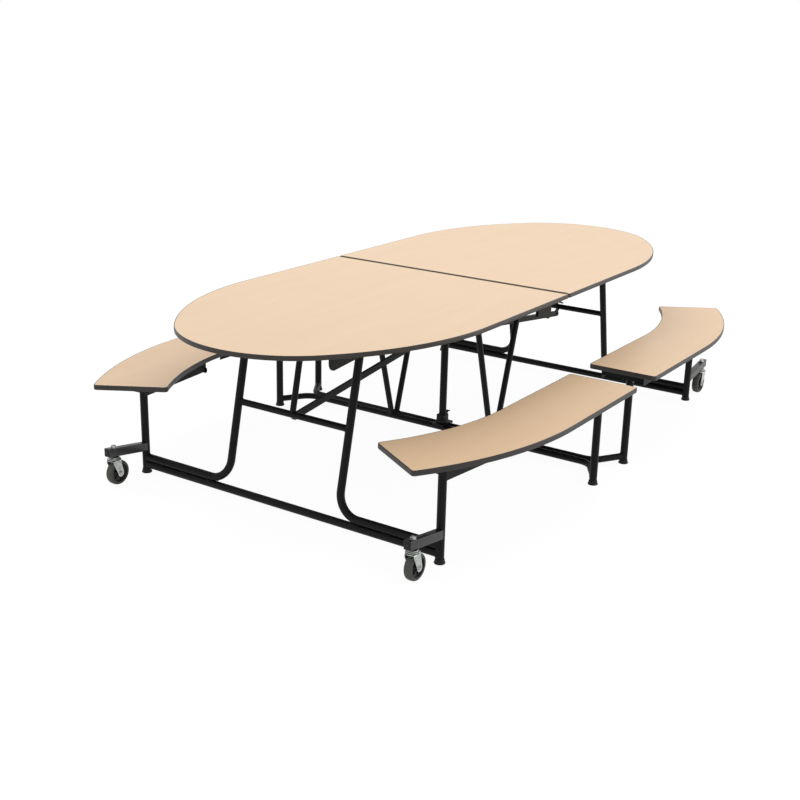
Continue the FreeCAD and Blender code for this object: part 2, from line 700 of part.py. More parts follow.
def link_plate(y_low):
    """Side plate of a hinge bracket: two rounded noses over a slanting lower edge."""
    corner = HINGE_X - LINK_NIP
    outline = [
        (-HINGE_X, PIVOT_Z + LINK_NOSE),
        (HINGE_X, PIVOT_Z + LINK_NOSE),
        (HINGE_X, PIVOT_Z - LINK_NOSE),
        (corner, link_edge_z(2 * LINK_FOOT - corner)),
        (LINK_FOOT, link_edge_z(LINK_FOOT)),
        (-HINGE_X, link_edge_z(-HINGE_X)),
    ]
    y_high = y_low + LINK_PLATE
    plate = prism_y(outline, y_low, y_high)
    for x in (-HINGE_X, HINGE_X):
        plate = plate.fuse(rod(point(x, y_low, PIVOT_Z), point(x, y_high, PIVOT_Z), LINK_NOSE))
    for x in (-HINGE_X, HINGE_X):
        plate = plate.cut(rod(point(x, y_low - CUT_PAST, PIVOT_Z), point(x, y_high + CUT_PAST, PIVOT_Z),
                              HINGE_PIN_RADIUS))
    return plate.removeSplitter()


def centre_link():
    inner = LEAF_Y - RAIL_WEB / 2 - SIDE_GAP - LINK_PLATE
    outer = LEAF_Y + RAIL_WEB / 2 + SIDE_GAP
    foot_edge = [(LINK_PLATE_START, link_edge_z(LINK_PLATE_START)), (LINK_FOOT, link_edge_z(LINK_FOOT))]
    foot_edge += [(x, z + LINK_PLATE) for x, z in reversed(foot_edge)]
    foot_plate = prism_y(foot_edge, inner, outer + LINK_PLATE)
    bracket = link_plate(inner).fuse([link_plate(outer), foot_plate])
    half = LINK_TUBE / 2
    cross = box(point(-half, -inner, LINK_TUBE_TOP - LINK_TUBE), point(half, inner, LINK_TUBE_TOP))
    inset = half - TUBE_WALL
    cross = cross.cut(box(point(-inset, -inner, LINK_TUBE_TOP - LINK_TUBE + TUBE_WALL),
                          point(inset, inner, LINK_TUBE_TOP - TUBE_WALL)))
    return cross.fuse([bracket, mirrored_y(bracket)]).removeSplitter()


def hinge_pins():
    reach = RAIL_WEB / 2 + SIDE_GAP + LINK_PLATE
    pins = []
    for x in (-HINGE_X, HINGE_X):
        shank = rod(point(x, LEAF_Y - reach, PIVOT_Z), point(x, LEAF_Y + reach, PIVOT_Z), HINGE_PIN_RADIUS)
        head = rod(point(x, LEAF_Y + reach, PIVOT_Z), point(x, LEAF_Y + reach + PIN_HEAD, PIVOT_Z),
                   HINGE_PIN_RADIUS + PIN_HEAD_RIM)
        pins.append(shank.fuse(head).removeSplitter())
    return both_sides(group(pins))


def slot_plate():
    """Plate on the centre post in which the upper pin of one sync strut travels."""
    fall = math.radians(SLOT_ANGLE)
    way = point(math.cos(fall), 0, -math.sin(fall))
    across = point(-way.z, 0, way.x)
    y_low = -SLOT_PLATE_Y - LUG_THICKNESS
    depth = Y_AXIS * LUG_THICKNESS
    start = point(STRUT_TOP_X, y_low, STRUT_TOP_Z) + across * SLOT_RISE
    end = start + way * SLOT_TRAVEL
    wide = SLOT_HALF_WIDTH
    slot = rod(start, start + depth, wide).fuse(rod(end, end + depth, wide))
    side = [start + across * wide, end + across * wide, end - across * wide, start - across * wide]
    slot = slot.fuse(Part.Face(Part.makePolygon(side + side[:1])).extrude(depth))
    reach = SLOT_HALF_WIDTH + SLOT_PLATE_MARGIN
    plate = box(point(start.x - reach, y_low, end.z - reach),
                point(end.x + reach, -SLOT_PLATE_Y, SLOT_PLATE_TOP))
    half = SLOT_TAB / 2
    tab = box(point(-half, -SLOT_PLATE_Y, SLOT_PLATE_TOP - SLOT_TAB), point(half, -half, SLOT_PLATE_TOP))
    return plate.cut(slot).fuse(tab)


def centre_post():
    post_top = LINK_TUBE_TOP - LINK_TUBE
    body = rod(point(0, 0, CENTRE_POST_LOW), point(0, 0, post_top), CENTRE_POST_RADIUS)
    bore = rod(point(0, 0, CENTRE_POST_LOW), point(0, 0, post_top), CENTRE_POST_RADIUS - TUBE_WALL)
    post = body.cut(bore)
    plate = largest_solid(slot_plate().cut(body))
    turned = plate.copy()
    turned.rotate(ORIGIN, Z_AXIS, 180)
    base_top = CENTRE_BASE_Z + CENTRE_BASE_RADIUS
    half_x = CENTRE_BASE_X + CENTRE_BASE_RADIUS + SADDLE_EAR_GAP
    half_y = SADDLE_WIDTH / 2
    low = base_top + REST_GAP
    saddle = box(point(-half_x - SADDLE_EAR, -half_y, low),
                 point(half_x + SADDLE_EAR, half_y, low + SADDLE_THICKNESS))
    ears = []
    for side in (1, -1):
        ear_in = side * half_x
        ear_out = side * (half_x + SADDLE_EAR)
        ears.append(box(point(min(ear_in, ear_out), -half_y, low - SADDLE_EAR),
                        point(max(ear_in, ear_out), half_y, low)))
    socket = CENTRE_POST_RADIUS + SADDLE_NECK
    neck = box(point(-socket, -socket, low + SADDLE_THICKNESS),
               point(socket, socket, CENTRE_POST_LOW + SADDLE_NECK_RISE))
    neck = neck.cut(body)
    neck = neck.cut(box(point(-CENTRE_POST_RADIUS, -CENTRE_POST_RADIUS, low + SADDLE_THICKNESS),
                        point(CENTRE_POST_RADIUS, CENTRE_POST_RADIUS, CENTRE_POST_LOW)))
    saddle = saddle.fuse(ears + [neck]).removeSplitter()
    return group([post.fuse([plate, turned]).removeSplitter(), saddle])


def latch_rod():
    """Release rod with a turned-down hook at the front hinge bracket."""
    y_start = -(LEAF_Y + RAIL_WEB / 2 + SIDE_GAP + LINK_PLATE)
    z = PIVOT_Z
    corners = [
        point(0, y_start, z),
        point(0, y_start - LATCH_ROD_REACH, z),
        point(LATCH_ROD_HOOK, y_start - LATCH_ROD_REACH, z - LATCH_ROD_DROP),
    ]
    path = bent_path(corners, LATCH_ROD_BEND)
    return group([swept(path, corners[0], corners[1] - corners[0], LATCH_ROD_RADIUS)])


# Sync struts

def sync_strut():
    """Rectangular bar with its lower pivot pin and its upper slot pin."""
    low = point(STRUT_PIVOT_X, -STRUT_Y, STRUT_PIVOT_Z)
    high = point(STRUT_TOP_X, -STRUT_Y, STRUT_TOP_Z)
    way = (high - low).normalize()
    across = point(way.z, 0, -way.x)
    half = STRUT_HEIGHT / 2
    y_low = -STRUT_Y - STRUT_THICKNESS / 2
    y_high = y_low + STRUT_THICKNESS
    corners = [low + across * half, high + across * half, high - across * half, low - across * half]
    bar = prism_y([(c.x, c.z) for c in corners], y_low, y_high)
    for end in (low, high):
        bar = bar.fuse(rod(point(end.x, y_low, end.z), point(end.x, y_high, end.z), half))
    inset = half - STRUT_WALL
    inner_low = low + way * half
    inner_high = high - way * half
    hollow = [inner_low + across * inset, inner_high + across * inset,
              inner_high - across * inset, inner_low - across * inset]
    bar = bar.cut(prism_y([(c.x, c.z) for c in hollow], y_low + STRUT_WALL, y_high - STRUT_WALL))
    pins = []
    for end in (low, high):
        tip = y_high + SIDE_GAP + LUG_THICKNESS + POST_SIDE_GAP / 2
        shank = rod(point(end.x, y_low, end.z), point(end.x, tip, end.z), STRUT_PIN_RADIUS)
        head = rod(point(end.x, y_low - PIN_HEAD, end.z), point(end.x, y_low, end.z),
                   STRUT_PIN_RADIUS + PIN_HEAD_RIM)
        bar = bar.cut(shank)
        pins.append(shank.fuse(head).removeSplitter())
    return group([bar.removeSplitter()] + pins)


# Bench under-frames

def seat_bar(x_low, x_high, near, far, low, high):
    """A bar along the line between the two bench posts, from near to far of that line."""
    slope = (POST_Y - INNER_POST_Y) / (BENCH_PIVOT_X - INNER_POST_X)
    start = point(x_low, INNER_POST_Y + slope * (x_low - INNER_POST_X), low)
    end = point(x_high, INNER_POST_Y + slope * (x_high - INNER_POST_X), low)
    way = (end - start).normalize()
    across = point(-way.y, way.x, 0)
    corners = [start + across * near, end + across * near, end + across * far, start + across * far]
    return Part.Face(Part.makePolygon(corners + corners[:1])).extrude(Z_AXIS * (high - low))


def outer_pan():
    """A pan along the line of the posts, open below, welded from a sheet and four strips."""
    start, end = OUTER_PAN_START, OUTER_PAN_END
    half = OUTER_PAN_WIDTH / 2
    inset = half - PAN_SHEET
    low = UNDER_SEAT - PAN_DEPTH
    end_low = UNDER_SEAT - PAN_END_DEPTH
    return [
        seat_bar(start, end, -half, half, PAN_UNDER, UNDER_SEAT),
        seat_bar(start, end, -half, -inset, low, PAN_UNDER),
        seat_bar(start, end, inset, half, low, PAN_UNDER),
        seat_bar(start, start + PAN_SHEET, -inset, inset, end_low, PAN_UNDER).cut(seat_rail_space()),
        seat_bar(end - PAN_SHEET, end, -inset, inset, end_low, PAN_UNDER),
    ]


def inner_pan():
    """A pan like the outer one, but straight along the inner part of the bench."""
    start, end = INNER_PAN_START, INNER_PAN_END
    near = INNER_PAN_Y - INNER_PAN_WIDTH / 2
    far = INNER_PAN_Y + INNER_PAN_WIDTH / 2
    low = UNDER_SEAT - PAN_DEPTH
    end_low = UNDER_SEAT - PAN_END_DEPTH
    end_wall = box(point(end - PAN_SHEET, near + PAN_SHEET, end_low), point(end, far - PAN_SHEET, PAN_UNDER))
    return [
        box(point(start, near, PAN_UNDER), point(end, far, UNDER_SEAT)),
        box(point(start, near, low), point(end, near + PAN_SHEET, PAN_UNDER)),
        box(point(start, far - PAN_SHEET, low), point(end, far, PAN_UNDER)),
        box(point(start, near + PAN_SHEET, end_low), point(start + PAN_SHEET, far - PAN_SHEET, PAN_UNDER)),
        end_wall.cut(seat_rail_space()),
    ]


def seat_rail_space():
    half = SEAT_RAIL_WIDTH / 2
    return seat_bar(SEAT_RAIL_START, SEAT_RAIL_END, -half, half, UNDER_SEAT - SEAT_RAIL_HEIGHT, PAN_UNDER)


def seat_frame():
    """Pans and rail under the seat, hinge cheeks beside the outer post, guides round the inner post."""
    rail_low = UNDER_SEAT - SEAT_RAIL_HEIGHT
    inset = SEAT_RAIL_WIDTH / 2 - SEAT_RAIL_WALL
    rail = seat_rail_space()
    rail = rail.cut(seat_bar(SEAT_RAIL_START, SEAT_RAIL_END, -inset, inset, rail_low + SEAT_RAIL_WALL,
                             PAN_UNDER - SEAT_RAIL_WALL))
    inner_face = POST_RADIUS + 2 * SIDE_GAP
    cheek = [
        (BENCH_PIVOT_X - CHEEK_REACH, PAN_UNDER),
        (BENCH_PIVOT_X + CHEEK_TAIL, PAN_UNDER),
        (BENCH_PIVOT_X + CHEEK_NOSE, BENCH_PIVOT_Z),
        (BENCH_PIVOT_X - CHEEK_NOSE, BENCH_PIVOT_Z),
        (BENCH_PIVOT_X - CHEEK_REACH, rail_low + SEAT_RAIL_HEIGHT / 2),
    ]
    plates = []
    pin_low = POST_Y - inner_face - CHEEK_THICKNESS
    pin_high = POST_Y + inner_face + CHEEK_THICKNESS
    for y_low in (pin_low, POST_Y + inner_face):
        nose = rod(point(BENCH_PIVOT_X, y_low, BENCH_PIVOT_Z),
                   point(BENCH_PIVOT_X, y_low + CHEEK_THICKNESS, BENCH_PIVOT_Z), CHEEK_NOSE)
        plates += [prism_y(cheek, y_low, y_low + CHEEK_THICKNESS), nose]
    guide_face = INNER_PLATE / 2 + GUIDE_GAP
    for y_low in (INNER_POST_Y - guide_face - CHEEK_THICKNESS, INNER_POST_Y + guide_face):
        plates.append(box(point(GUIDE_START, y_low, UNDER_SEAT - PAN_DEPTH),
                          point(GUIDE_START + GUIDE_LENGTH, y_low + CHEEK_THICKNESS, PAN_UNDER)))
    plates.append(box(point(GUIDE_START, INNER_POST_Y - guide_face, PAN_UNDER - CHEEK_THICKNESS),
                      point(GUIDE_START + GUIDE_LENGTH, INNER_POST_Y + guide_face, PAN_UNDER)))
    frame = rail.fuse(plates)
    pin = rod(point(BENCH_PIVOT_X, pin_low, BENCH_PIVOT_Z), point(BENCH_PIVOT_X, pin_high, BENCH_PIVOT_Z),
              BENCH_PIN_RADIUS)
    frame = frame.cut(pin)
    heads = []
    for y_low in (pin_low - PIN_HEAD, pin_high):
        heads.append(rod(point(BENCH_PIVOT_X, y_low, BENCH_PIVOT_Z),
                         point(BENCH_PIVOT_X, y_low + PIN_HEAD, BENCH_PIVOT_Z),
                         BENCH_PIN_RADIUS + PIN_HEAD_RIM))
    return group([frame.removeSplitter(), pin.fuse(heads).removeSplitter()] + outer_pan() + inner_pan())


# Placing and writing

def placed(shape, x_side, y_side):
    """A copy of a piece from the (+X, +Y) quarter in another quarter."""
    if x_side < 0:
        shape = shape.mirror(ORIGIN, X_AXIS)
    if y_side < 0:
        shape = shape.mirror(ORIGIN, Y_AXIS)
    return shape


def half_turned(shape, x_side):
    """A half of the table is turned about the middle to make the other half."""
    turned = shape.copy()
    if x_side < 0:
        turned.rotate(ORIGIN, Z_AXIS, 180)
    return turned


def write(name, shape):
    solids = shape.Solids
    for solid in solids:
        if not solid.isValid():
            print("not valid:", name)
    out = solids[0] if len(solids) == 1 else Part.makeCompound(solids)
    out.exportStep(os.path.join("parts", name + ".step"))
    print(name, len(solids), "solids", round(sum(solid.Volume for solid in solids)))


def main():
    os.makedirs("parts", exist_ok=True)
    panel, edge = top_half()
    halves = {
        "top_panel": panel,
        "top_edge": edge,
        "top_rails": top_rails(),
        "end_legs": end_legs(),
        "end_cross_members": end_cross_members(),
        "end_base_tube": end_base_tube(),
        "end_bench_posts": outer_posts(),
        "end_feet": both_sides(foot(POST_X, POST_Y, POST_RADIUS)),
        "caster_arms": caster_arms(),
        "caster_stems": caster_stems(),
        "centre_base_tube": centre_base_tube(),
        "centre_v_legs": centre_v_legs(),
        "centre_pivot_tube": centre_pivot_tube(),
        "centre_bench_posts": inner_posts(),
        "centre_feet": both_sides(foot(INNER_POST_X, INNER_POST_Y, INNER_POST_RADIUS)),
        "sync_strut": sync_strut(),
    }
    for name, shape in halves.items():
        for side, x_side in (("left", -1), ("right", 1)):
            write(name + "_" + side, half_turned(shape, x_side))
    seat_board, seat_band = seat()
    quarters = {
        "bench_seat": seat_board,
        "bench_edge": seat_band,
        "bench_frame": seat_frame(),
        "caster_fork": caster_fork(),
        "wheel_tyre": wheel_tyre(),
        "wheel_hub": wheel_hub(),
    }
    for name, shape in quarters.items():
        for row, y_side in (("front", -1), ("back", 1)):
            for side, x_side in (("left", -1), ("right", 1)):
                write(name + "_" + row + "_" + side, placed(shape, x_side, y_side))
    write("centre_link", centre_link())
    write("centre_post", centre_post())
    write("hinge_pins", hinge_pins())
    write("latch_rod", latch_rod())


main()
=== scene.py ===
import json
import math

import bmesh
import bpy
import numpy as np
from mathutils import Matrix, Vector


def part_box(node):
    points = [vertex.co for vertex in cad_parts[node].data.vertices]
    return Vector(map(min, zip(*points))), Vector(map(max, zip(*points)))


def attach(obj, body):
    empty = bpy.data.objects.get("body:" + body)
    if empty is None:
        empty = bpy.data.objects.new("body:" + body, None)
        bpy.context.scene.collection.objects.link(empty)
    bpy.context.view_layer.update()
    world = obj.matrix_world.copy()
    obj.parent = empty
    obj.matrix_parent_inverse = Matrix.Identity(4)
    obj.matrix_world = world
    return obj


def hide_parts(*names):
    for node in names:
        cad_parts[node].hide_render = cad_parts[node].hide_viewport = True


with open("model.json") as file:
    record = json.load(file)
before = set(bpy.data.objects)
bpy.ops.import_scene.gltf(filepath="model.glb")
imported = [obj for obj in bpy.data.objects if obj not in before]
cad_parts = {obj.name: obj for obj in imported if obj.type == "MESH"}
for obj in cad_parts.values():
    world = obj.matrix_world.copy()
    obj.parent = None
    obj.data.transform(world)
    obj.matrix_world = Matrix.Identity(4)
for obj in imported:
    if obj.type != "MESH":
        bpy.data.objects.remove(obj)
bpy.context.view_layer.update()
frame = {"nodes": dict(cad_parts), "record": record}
nodes = frame["nodes"]
sides = {"left": -1, "right": 1}
rows = {"front": -1, "back": 1}
print("frame loaded:", len(nodes), "nodes")


class Wire:
    # one output of a shader node; arithmetic between wires and numbers adds Math nodes
    def __init__(self, tree, socket=None):
        self.tree = tree
        self.socket = socket

    def node(self, kind, settings=None, values=None, out=0):
        # any other node: settings first, then numbers, colours or wires into its sockets
        made = self.tree.nodes.new("ShaderNode" + kind)
        for name, value in (settings or {}).items():
            setattr(made, name, value)
        for name, value in (values or {}).items():
            if isinstance(value, Wire):
                self.tree.links.new(value.socket, made.inputs[name])
            else:
                made.inputs[name].default_value = value
        return Wire(self.tree, made.outputs[out] if len(made.outputs) else None)

    def math(self, operation, *values):
        return self.node("Math", {"operation": operation}, dict(enumerate(values)))

    def clamped(self):
        return self.node("Clamp", values={"Value": self})

    def between(self, low, high):
        # 0 below low, 1 above high, smooth in between
        return self.node("MapRange", {"interpolation_type": "SMOOTHSTEP"},
                         {"Value": self, "From Min": low, "From Max": high})

    def mix(self, first, second):
        # this value blends two colours or colour wires
        return self.node("Mix", {"data_type": "RGBA"}, {0: self, 6: first, 7: second}, out=2)

    def stretched(self, scale):
        return self.node("Mapping", values={"Vector": self, "Scale": scale})

    def noise(self, scale, detail, roughness):
        return self.node("TexNoise", values={"Vector": self, "Scale": scale, "Detail": detail,
                                             "Roughness": roughness})

    def bump(self, strength, distance):
        return self.node("Bump", values={"Height": self, "Strength": strength,
                                         "Distance": distance})

    def __add__(self, other):
        return self.math("ADD", self, other)

    def __sub__(self, other):
        return self.math("SUBTRACT", self, other)

    def __rsub__(self, other):
        return self.math("SUBTRACT", other, self)

    def __mul__(self, other):
        return self.math("MULTIPLY", self, other)

    __radd__ = __add__
    __rmul__ = __mul__


def rgb(*levels):
    # a colour written as it is seen on screen, 0 to 255, turned into linear light
    shares = np.array(levels, float) / 255
    linear = np.where(shares <= 0.04045, shares / 12.92, ((shares + 0.055) / 1.055) ** 2.4)
    return (*(float(v) for v in linear), 1.0)


def finishOf(name, build):
    # build gets the object coordinates and returns the values of the shader's sockets
    made = bpy.data.materials.new(name)
    made.use_nodes = True
    made.node_tree.nodes.clear()
    root = Wire(made.node_tree)
    place = root.node("TexCoord", out=3)
    shader = root.node("BsdfPrincipled", values=build(place))
    root.node("OutputMaterial", values={"Surface": shader})
    return made


def shaded(colour, share):
    # the same colour, darker below a share of 1 and lighter above it
    return tuple(level * share for level in colour[:3]) + (1.0,)


laminate = {"light": rgb(240, 214, 183), "dark": rgb(228, 199, 166), "backer": rgb(58, 50, 44),
            "core": rgb(176, 140, 98), "rough": 0.36, "sheet": 0.0009, "blur": 0.0002,
            "backerSheet": (0.0005, 0.0008), "grain": (5.0, 210.0, 5.0), "figure": (0.9, 9.0, 1.0),
            "fleck": (38.0, 700.0, 38.0), "fleckShare": 0.16, "dust": 240.0, "chips": 420.0,
            "relief": 900.0}


def laminateFinish(name, top, under, tint):
    # printed maple sheet on the upper face, board on the sides, dark backer below
    light = tuple(a * b for a, b in zip(laminate["light"], tint))
    dark = tuple(a * b for a, b in zip(laminate["dark"], tint))
    sheetLow, blur = top - laminate["sheet"], laminate["blur"]
    backerLow, backerHigh = laminate["backerSheet"]

    def build(place):
        height = place.node("SeparateXYZ", values={"Vector": place}, out=2)
        grain = place.stretched(laminate["grain"]).noise(1.0, 5.0, 0.62)
        figure = place.stretched(laminate["figure"]).noise(1.6, 3.0, 0.5)
        fleck = place.stretched(laminate["fleck"]).noise(1.0, 2.0, 0.5).between(0.60, 0.78)
        tone = (0.75 * grain + 0.55 * figure - 0.15).clamped()
        maple = tone.mix(light, dark)
        maple = (fleck * laminate["fleckShare"]).mix(maple, shaded(dark, 0.72))
        dust = place.noise(laminate["dust"], 4.0, 0.6)
        backer = dust.mix(laminate["backer"], shaded(laminate["backer"], 1.5))
        chips = place.noise(laminate["chips"], 3.0, 0.7)
        core = chips.mix(laminate["core"], shaded(laminate["core"], 0.62))
        onTop = height.between(sheetLow - blur, sheetLow + blur)
        below = 1 - height.between(under + backerLow, under + backerHigh)
        colour = below.mix(onTop.mix(core, maple), backer)
        rough = laminate["rough"] + 0.06 * grain + 0.3 * below
        relief = 0.4 * grain + 0.6 * place.noise(laminate["relief"], 2.0, 0.5)
        return {"Base Color": colour, "Roughness": rough.clamped(), "Specular IOR Level": 0.35,
                "Normal": relief.bump(0.05, 0.0004)}
    return finishOf(name, build)


paint = {"patches": 7.0, "handled": 38.0}


def paintFinish(name, colour, lighter, rough, specular, peel, peelDepth):
    # sprayed or moulded black: fine orange peel, faint dusty patches, worn high spots
    def build(place):
        patches = place.noise(paint["patches"], 4.0, 0.55).between(0.42, 0.75)
        skin = place.noise(peel, 3.0, 0.55)
        handled = place.noise(paint["handled"], 5.0, 0.65).between(0.55, 0.8)
        tone = (0.5 * patches + 0.35 * handled).clamped().mix(colour, lighter)
        gloss = (rough + 0.10 * patches - 0.07 * handled + 0.06 * skin).clamped()
        return {"Base Color": tone, "Roughness": gloss, "Specular IOR Level": specular,
                "Normal": skin.bump(0.25, peelDepth)}
    return finishOf(name, build)


plate = {"cloud": 90.0, "lines": (60.0, 60.0, 900.0), "spots": 420.0}


def platedFinish(name, colour, darker, rough, grime):
    # zinc plate: cloudy spangle, fine brush lines, darker in the patches
    def build(place):
        cloud = place.noise(plate["cloud"], 4.0, 0.6)
        lines = place.stretched(plate["lines"]).noise(1.0, 3.0, 0.6)
        spots = place.noise(plate["spots"], 2.0, 0.5).between(0.62, 0.75)
        stain = (0.6 * cloud.between(0.35, 0.7) + grime * spots).clamped()
        gloss = (rough + 0.16 * cloud + 0.08 * lines).clamped()
        return {"Base Color": stain.mix(colour, darker), "Metallic": 1.0, "Roughness": gloss,
                "Normal": (0.5 * lines + 0.5 * cloud).bump(0.12, 0.0003)}
    return finishOf(name, build)


rubber = {"dust": 60.0, "grain": 1500.0, "scuffs": (120.0, 40.0, 120.0)}


def rubberFinish(name, colour, dusty, rough):
    # grey tread rubber with dust and small scuffs
    def build(place):
        dust = place.noise(rubber["dust"], 5.0, 0.65).between(0.4, 0.75)
        grainy = place.noise(rubber["grain"], 2.0, 0.5)
        scuffs = place.stretched(rubber["scuffs"]).noise(3.0, 4.0, 0.7).between(0.58, 0.72)
        tone = (0.6 * dust + 0.4 * scuffs).clamped().mix(colour, dusty)
        return {"Base Color": tone, "Roughness": (rough + 0.15 * dust).clamped(),
                "Specular IOR Level": 0.3, "Normal": (grainy + 0.6 * scuffs).bump(0.3, 0.0002)}
    return finishOf(name, build)


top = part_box("top_panel_left")
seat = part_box("bench_seat_front_left")
finishes = {
    "laminate": laminateFinish("mapleTop", top[1].z, top[0].z, (1.02, 0.985, 0.935, 1.0)),
    "bench_laminate": laminateFinish("mapleBench", seat[1].z, seat[0].z,
                                     (1.0, 0.935, 0.86, 1.0)),
    "edge": paintFinish("edgeMoulding", rgb(29, 22, 19), rgb(49, 39, 34), 0.40, 0.54, 520.0,
                        0.0003),
    # brown of the fold strip: painted shade of the fold gap
    "foldShade": paintFinish("foldShade", rgb(62, 42, 27), rgb(84, 60, 41), 0.55, 0.2, 520.0,
                            0.0002),
    "frame": paintFinish("powderCoat", rgb(13, 13, 13), rgb(22, 21, 21), 0.42, 0.15, 850.0, 0.0004),
    "armPaint": paintFinish("armGloss", rgb(17, 16, 15), rgb(30, 29, 27), 0.30, 0.62, 850.0,
                            0.0003),
    "foot": paintFinish("footNylon", rgb(18, 18, 18), rgb(40, 39, 38), 0.52, 0.25, 300.0, 0.0004),
    "zinc": platedFinish("zincPlate", rgb(196, 200, 196), rgb(140, 143, 140), 0.34, 0.5),
    "tyre": rubberFinish("greyTread", rgb(74, 76, 70), rgb(98, 99, 94), 0.62),
    "hub": paintFinish("hubNylon", rgb(26, 26, 26), rgb(48, 47, 46), 0.45, 0.3, 400.0, 0.0003),
}
slotOf = {row["node"]: row["material_slot"] for row in frame["record"]["subparts"]}
for name, node in nodes.items():
    node.data.materials.clear()
    node.data.materials.append(finishes[slotOf[name]])
print("finishes made:", len(finishes))


# surfaces are worked out in millimetres, and makePiece turns them into metres
def spread(points, closed=(False, True)):
    # quads between the neighbours of an n by m grid of points; a closed direction joins its ends
    count, across = points.shape[:2]
    index = np.arange(count * across).reshape(count, across)
    if closed[0]:
        index = np.vstack([index, index[:1]])
    if closed[1]:
        index = np.hstack([index, index[:, :1]])
    quads = np.stack([index[:-1, :-1], index[1:, :-1], index[1:, 1:], index[:-1, 1:]], axis=-1)
    return points.reshape(-1, 3), quads.reshape(-1, 4)


def eased(corners, radius, closed=False, steps=5):
    # each corner gives way to the curve (1-t)^2 A + 2t(1-t) C + t^2 B, with A and B a radius
    # before and after the corner C; the ends of an open line stay where they are
    corners = np.array(corners, float)
    radius = np.broadcast_to(np.array(radius, float), len(corners)).copy()
    if not closed:
        radius[[0, -1]] = 0.0
    before = np.roll(corners, 1, axis=0) - corners
    after = np.roll(corners, -1, axis=0) - corners
    reach = [np.linalg.norm(way, axis=1, keepdims=True) for way in (before, after)]
    most = 0.48                                # share of a short side that its corner may take
    start = corners + before / reach[0] * np.minimum(radius[:, None], most * reach[0])
    end = corners + after / reach[1] * np.minimum(radius[:, None], most * reach[1])
    t = np.linspace(0, 1, steps)[None, :, None]
    arc = (1 - t) ** 2 * start[:, None] + 2 * t * (1 - t) * corners[:, None] + t ** 2 * end[:, None]
    return arc.reshape(-1, 2)


def turned(profile, centre, axis="z", count=36, closed=False):
    # point(a, t) = centre + r(t) (cos a, sin a) + h(t) along the axis
    profile = np.array(profile, float)
    angle = np.linspace(0, 2 * math.pi, count, endpoint=False)[:, None]
    across = profile[None, :, 0] * np.cos(angle)
    above = profile[None, :, 0] * np.sin(angle)
    along = np.broadcast_to(profile[None, :, 1], across.shape)
    order = {"z": (across, above, along), "y": (above, along, across),
             "x": (along, across, above)}[axis]
    return spread(np.stack(order, axis=-1) + np.array(centre, float), (True, closed))


def hexed(apothem, height, chamfer, bore, centre, axis="z"):
    # a nut: r(a) = apothem / cos of the angle from the nearest flat, cut by a cone at both faces
    angle = np.linspace(0, 2 * math.pi, 48, endpoint=False)[:, None]
    flat = apothem / np.cos((angle + math.pi / 6) % (math.pi / 3) - math.pi / 6)
    corner = 1.155 * apothem                   # just past the six corners
    limit = np.array([bore, apothem, corner, corner, apothem, bore])[None]
    radius = np.minimum(flat, limit)
    radius[:, [0, 5]] = bore
    level = np.array([0, 0, chamfer, height - chamfer, height, height])
    along = np.broadcast_to(level[None], radius.shape)
    across, above = radius * np.cos(angle), radius * np.sin(angle)
    order = {"z": (across, above, along), "y": (above, along, across)}[axis]
    return spread(np.stack(order, axis=-1) + np.array(centre, float), (True, False))


def carried(profile, path, side, above, closed=(False, True), size=None):
    # point(s, t) = path(s) + size(s) (u(t) side(s) + v(t) above(s)); side and above may be the
    # same all along the path
    profile = np.array(profile, float)
    side, above = (np.broadcast_to(way, path.shape) for way in (side, above))
    size = np.ones(len(path)) if size is None else np.array(size, float)
    scaled = profile[None] * size[:, None, None]
    points = path[:, None] + scaled[..., :1] * side[:, None] + scaled[..., 1:] * above[:, None]
    return spread(points, closed)


def bead(path, radius, ripple=0.0, ripples=1.0, around=8, closed=False):
    # a round rod along a path; its radius swells and shrinks with the distance along it
    path = np.array(path, float)
    if closed:
        way = np.roll(path, -1, axis=0) - np.roll(path, 1, axis=0)
    else:
        way = np.gradient(path, axis=0)
    way = way / np.linalg.norm(way, axis=1, keepdims=True)
    lift = np.where(np.abs(way[:, 2:]) > 0.9, [[1.0, 0.0, 0.0]], [[0.0, 0.0, 1.0]])
    side = np.cross(lift, way)
    side = side / np.linalg.norm(side, axis=1, keepdims=True)
    above = np.cross(way, side)
    share = np.linspace(0, 1, len(path), endpoint=not closed)
    size = radius * (1 + ripple * np.sin(2 * math.pi * ripples * share))
    if not closed:
        size[[0, -1]] = 0.0
    angle = np.linspace(0, 2 * math.pi, around, endpoint=False)
    ring = np.stack([np.cos(angle), np.sin(angle)], -1)
    return carried(ring, path, side, above, (closed, True), size)


def placedAt(surfaces, x=1, y=1):
    # the same surfaces in another quarter of the table
    return [(points * np.array([x, y, 1.0]), quads) for points, quads in surfaces]


def frontAndBack(surfaces, x):
    # the same surfaces in the front and the back quarter of one side
    return [surface for y in rows.values() for surface in placedAt(surfaces, x, y)]


def makePiece(name, surfaces, slot, body, replaced=(), sharp=40.0, finish=None):
    # joins surfaces, merges their doubles, turns the faces outwards and hands the piece to its body
    starts = np.cumsum([0] + [len(points) for points, _ in surfaces[:-1]])
    points = np.concatenate([points for points, _ in surfaces]) / 1000
    quads = np.concatenate([quads + start for (_, quads), start in zip(surfaces, starts)])
    mesh = bpy.data.meshes.new(name)
    mesh.from_pydata(points.tolist(), [], quads.tolist())
    return dressPiece(name, mesh, slot, body, replaced, sharp, finish)


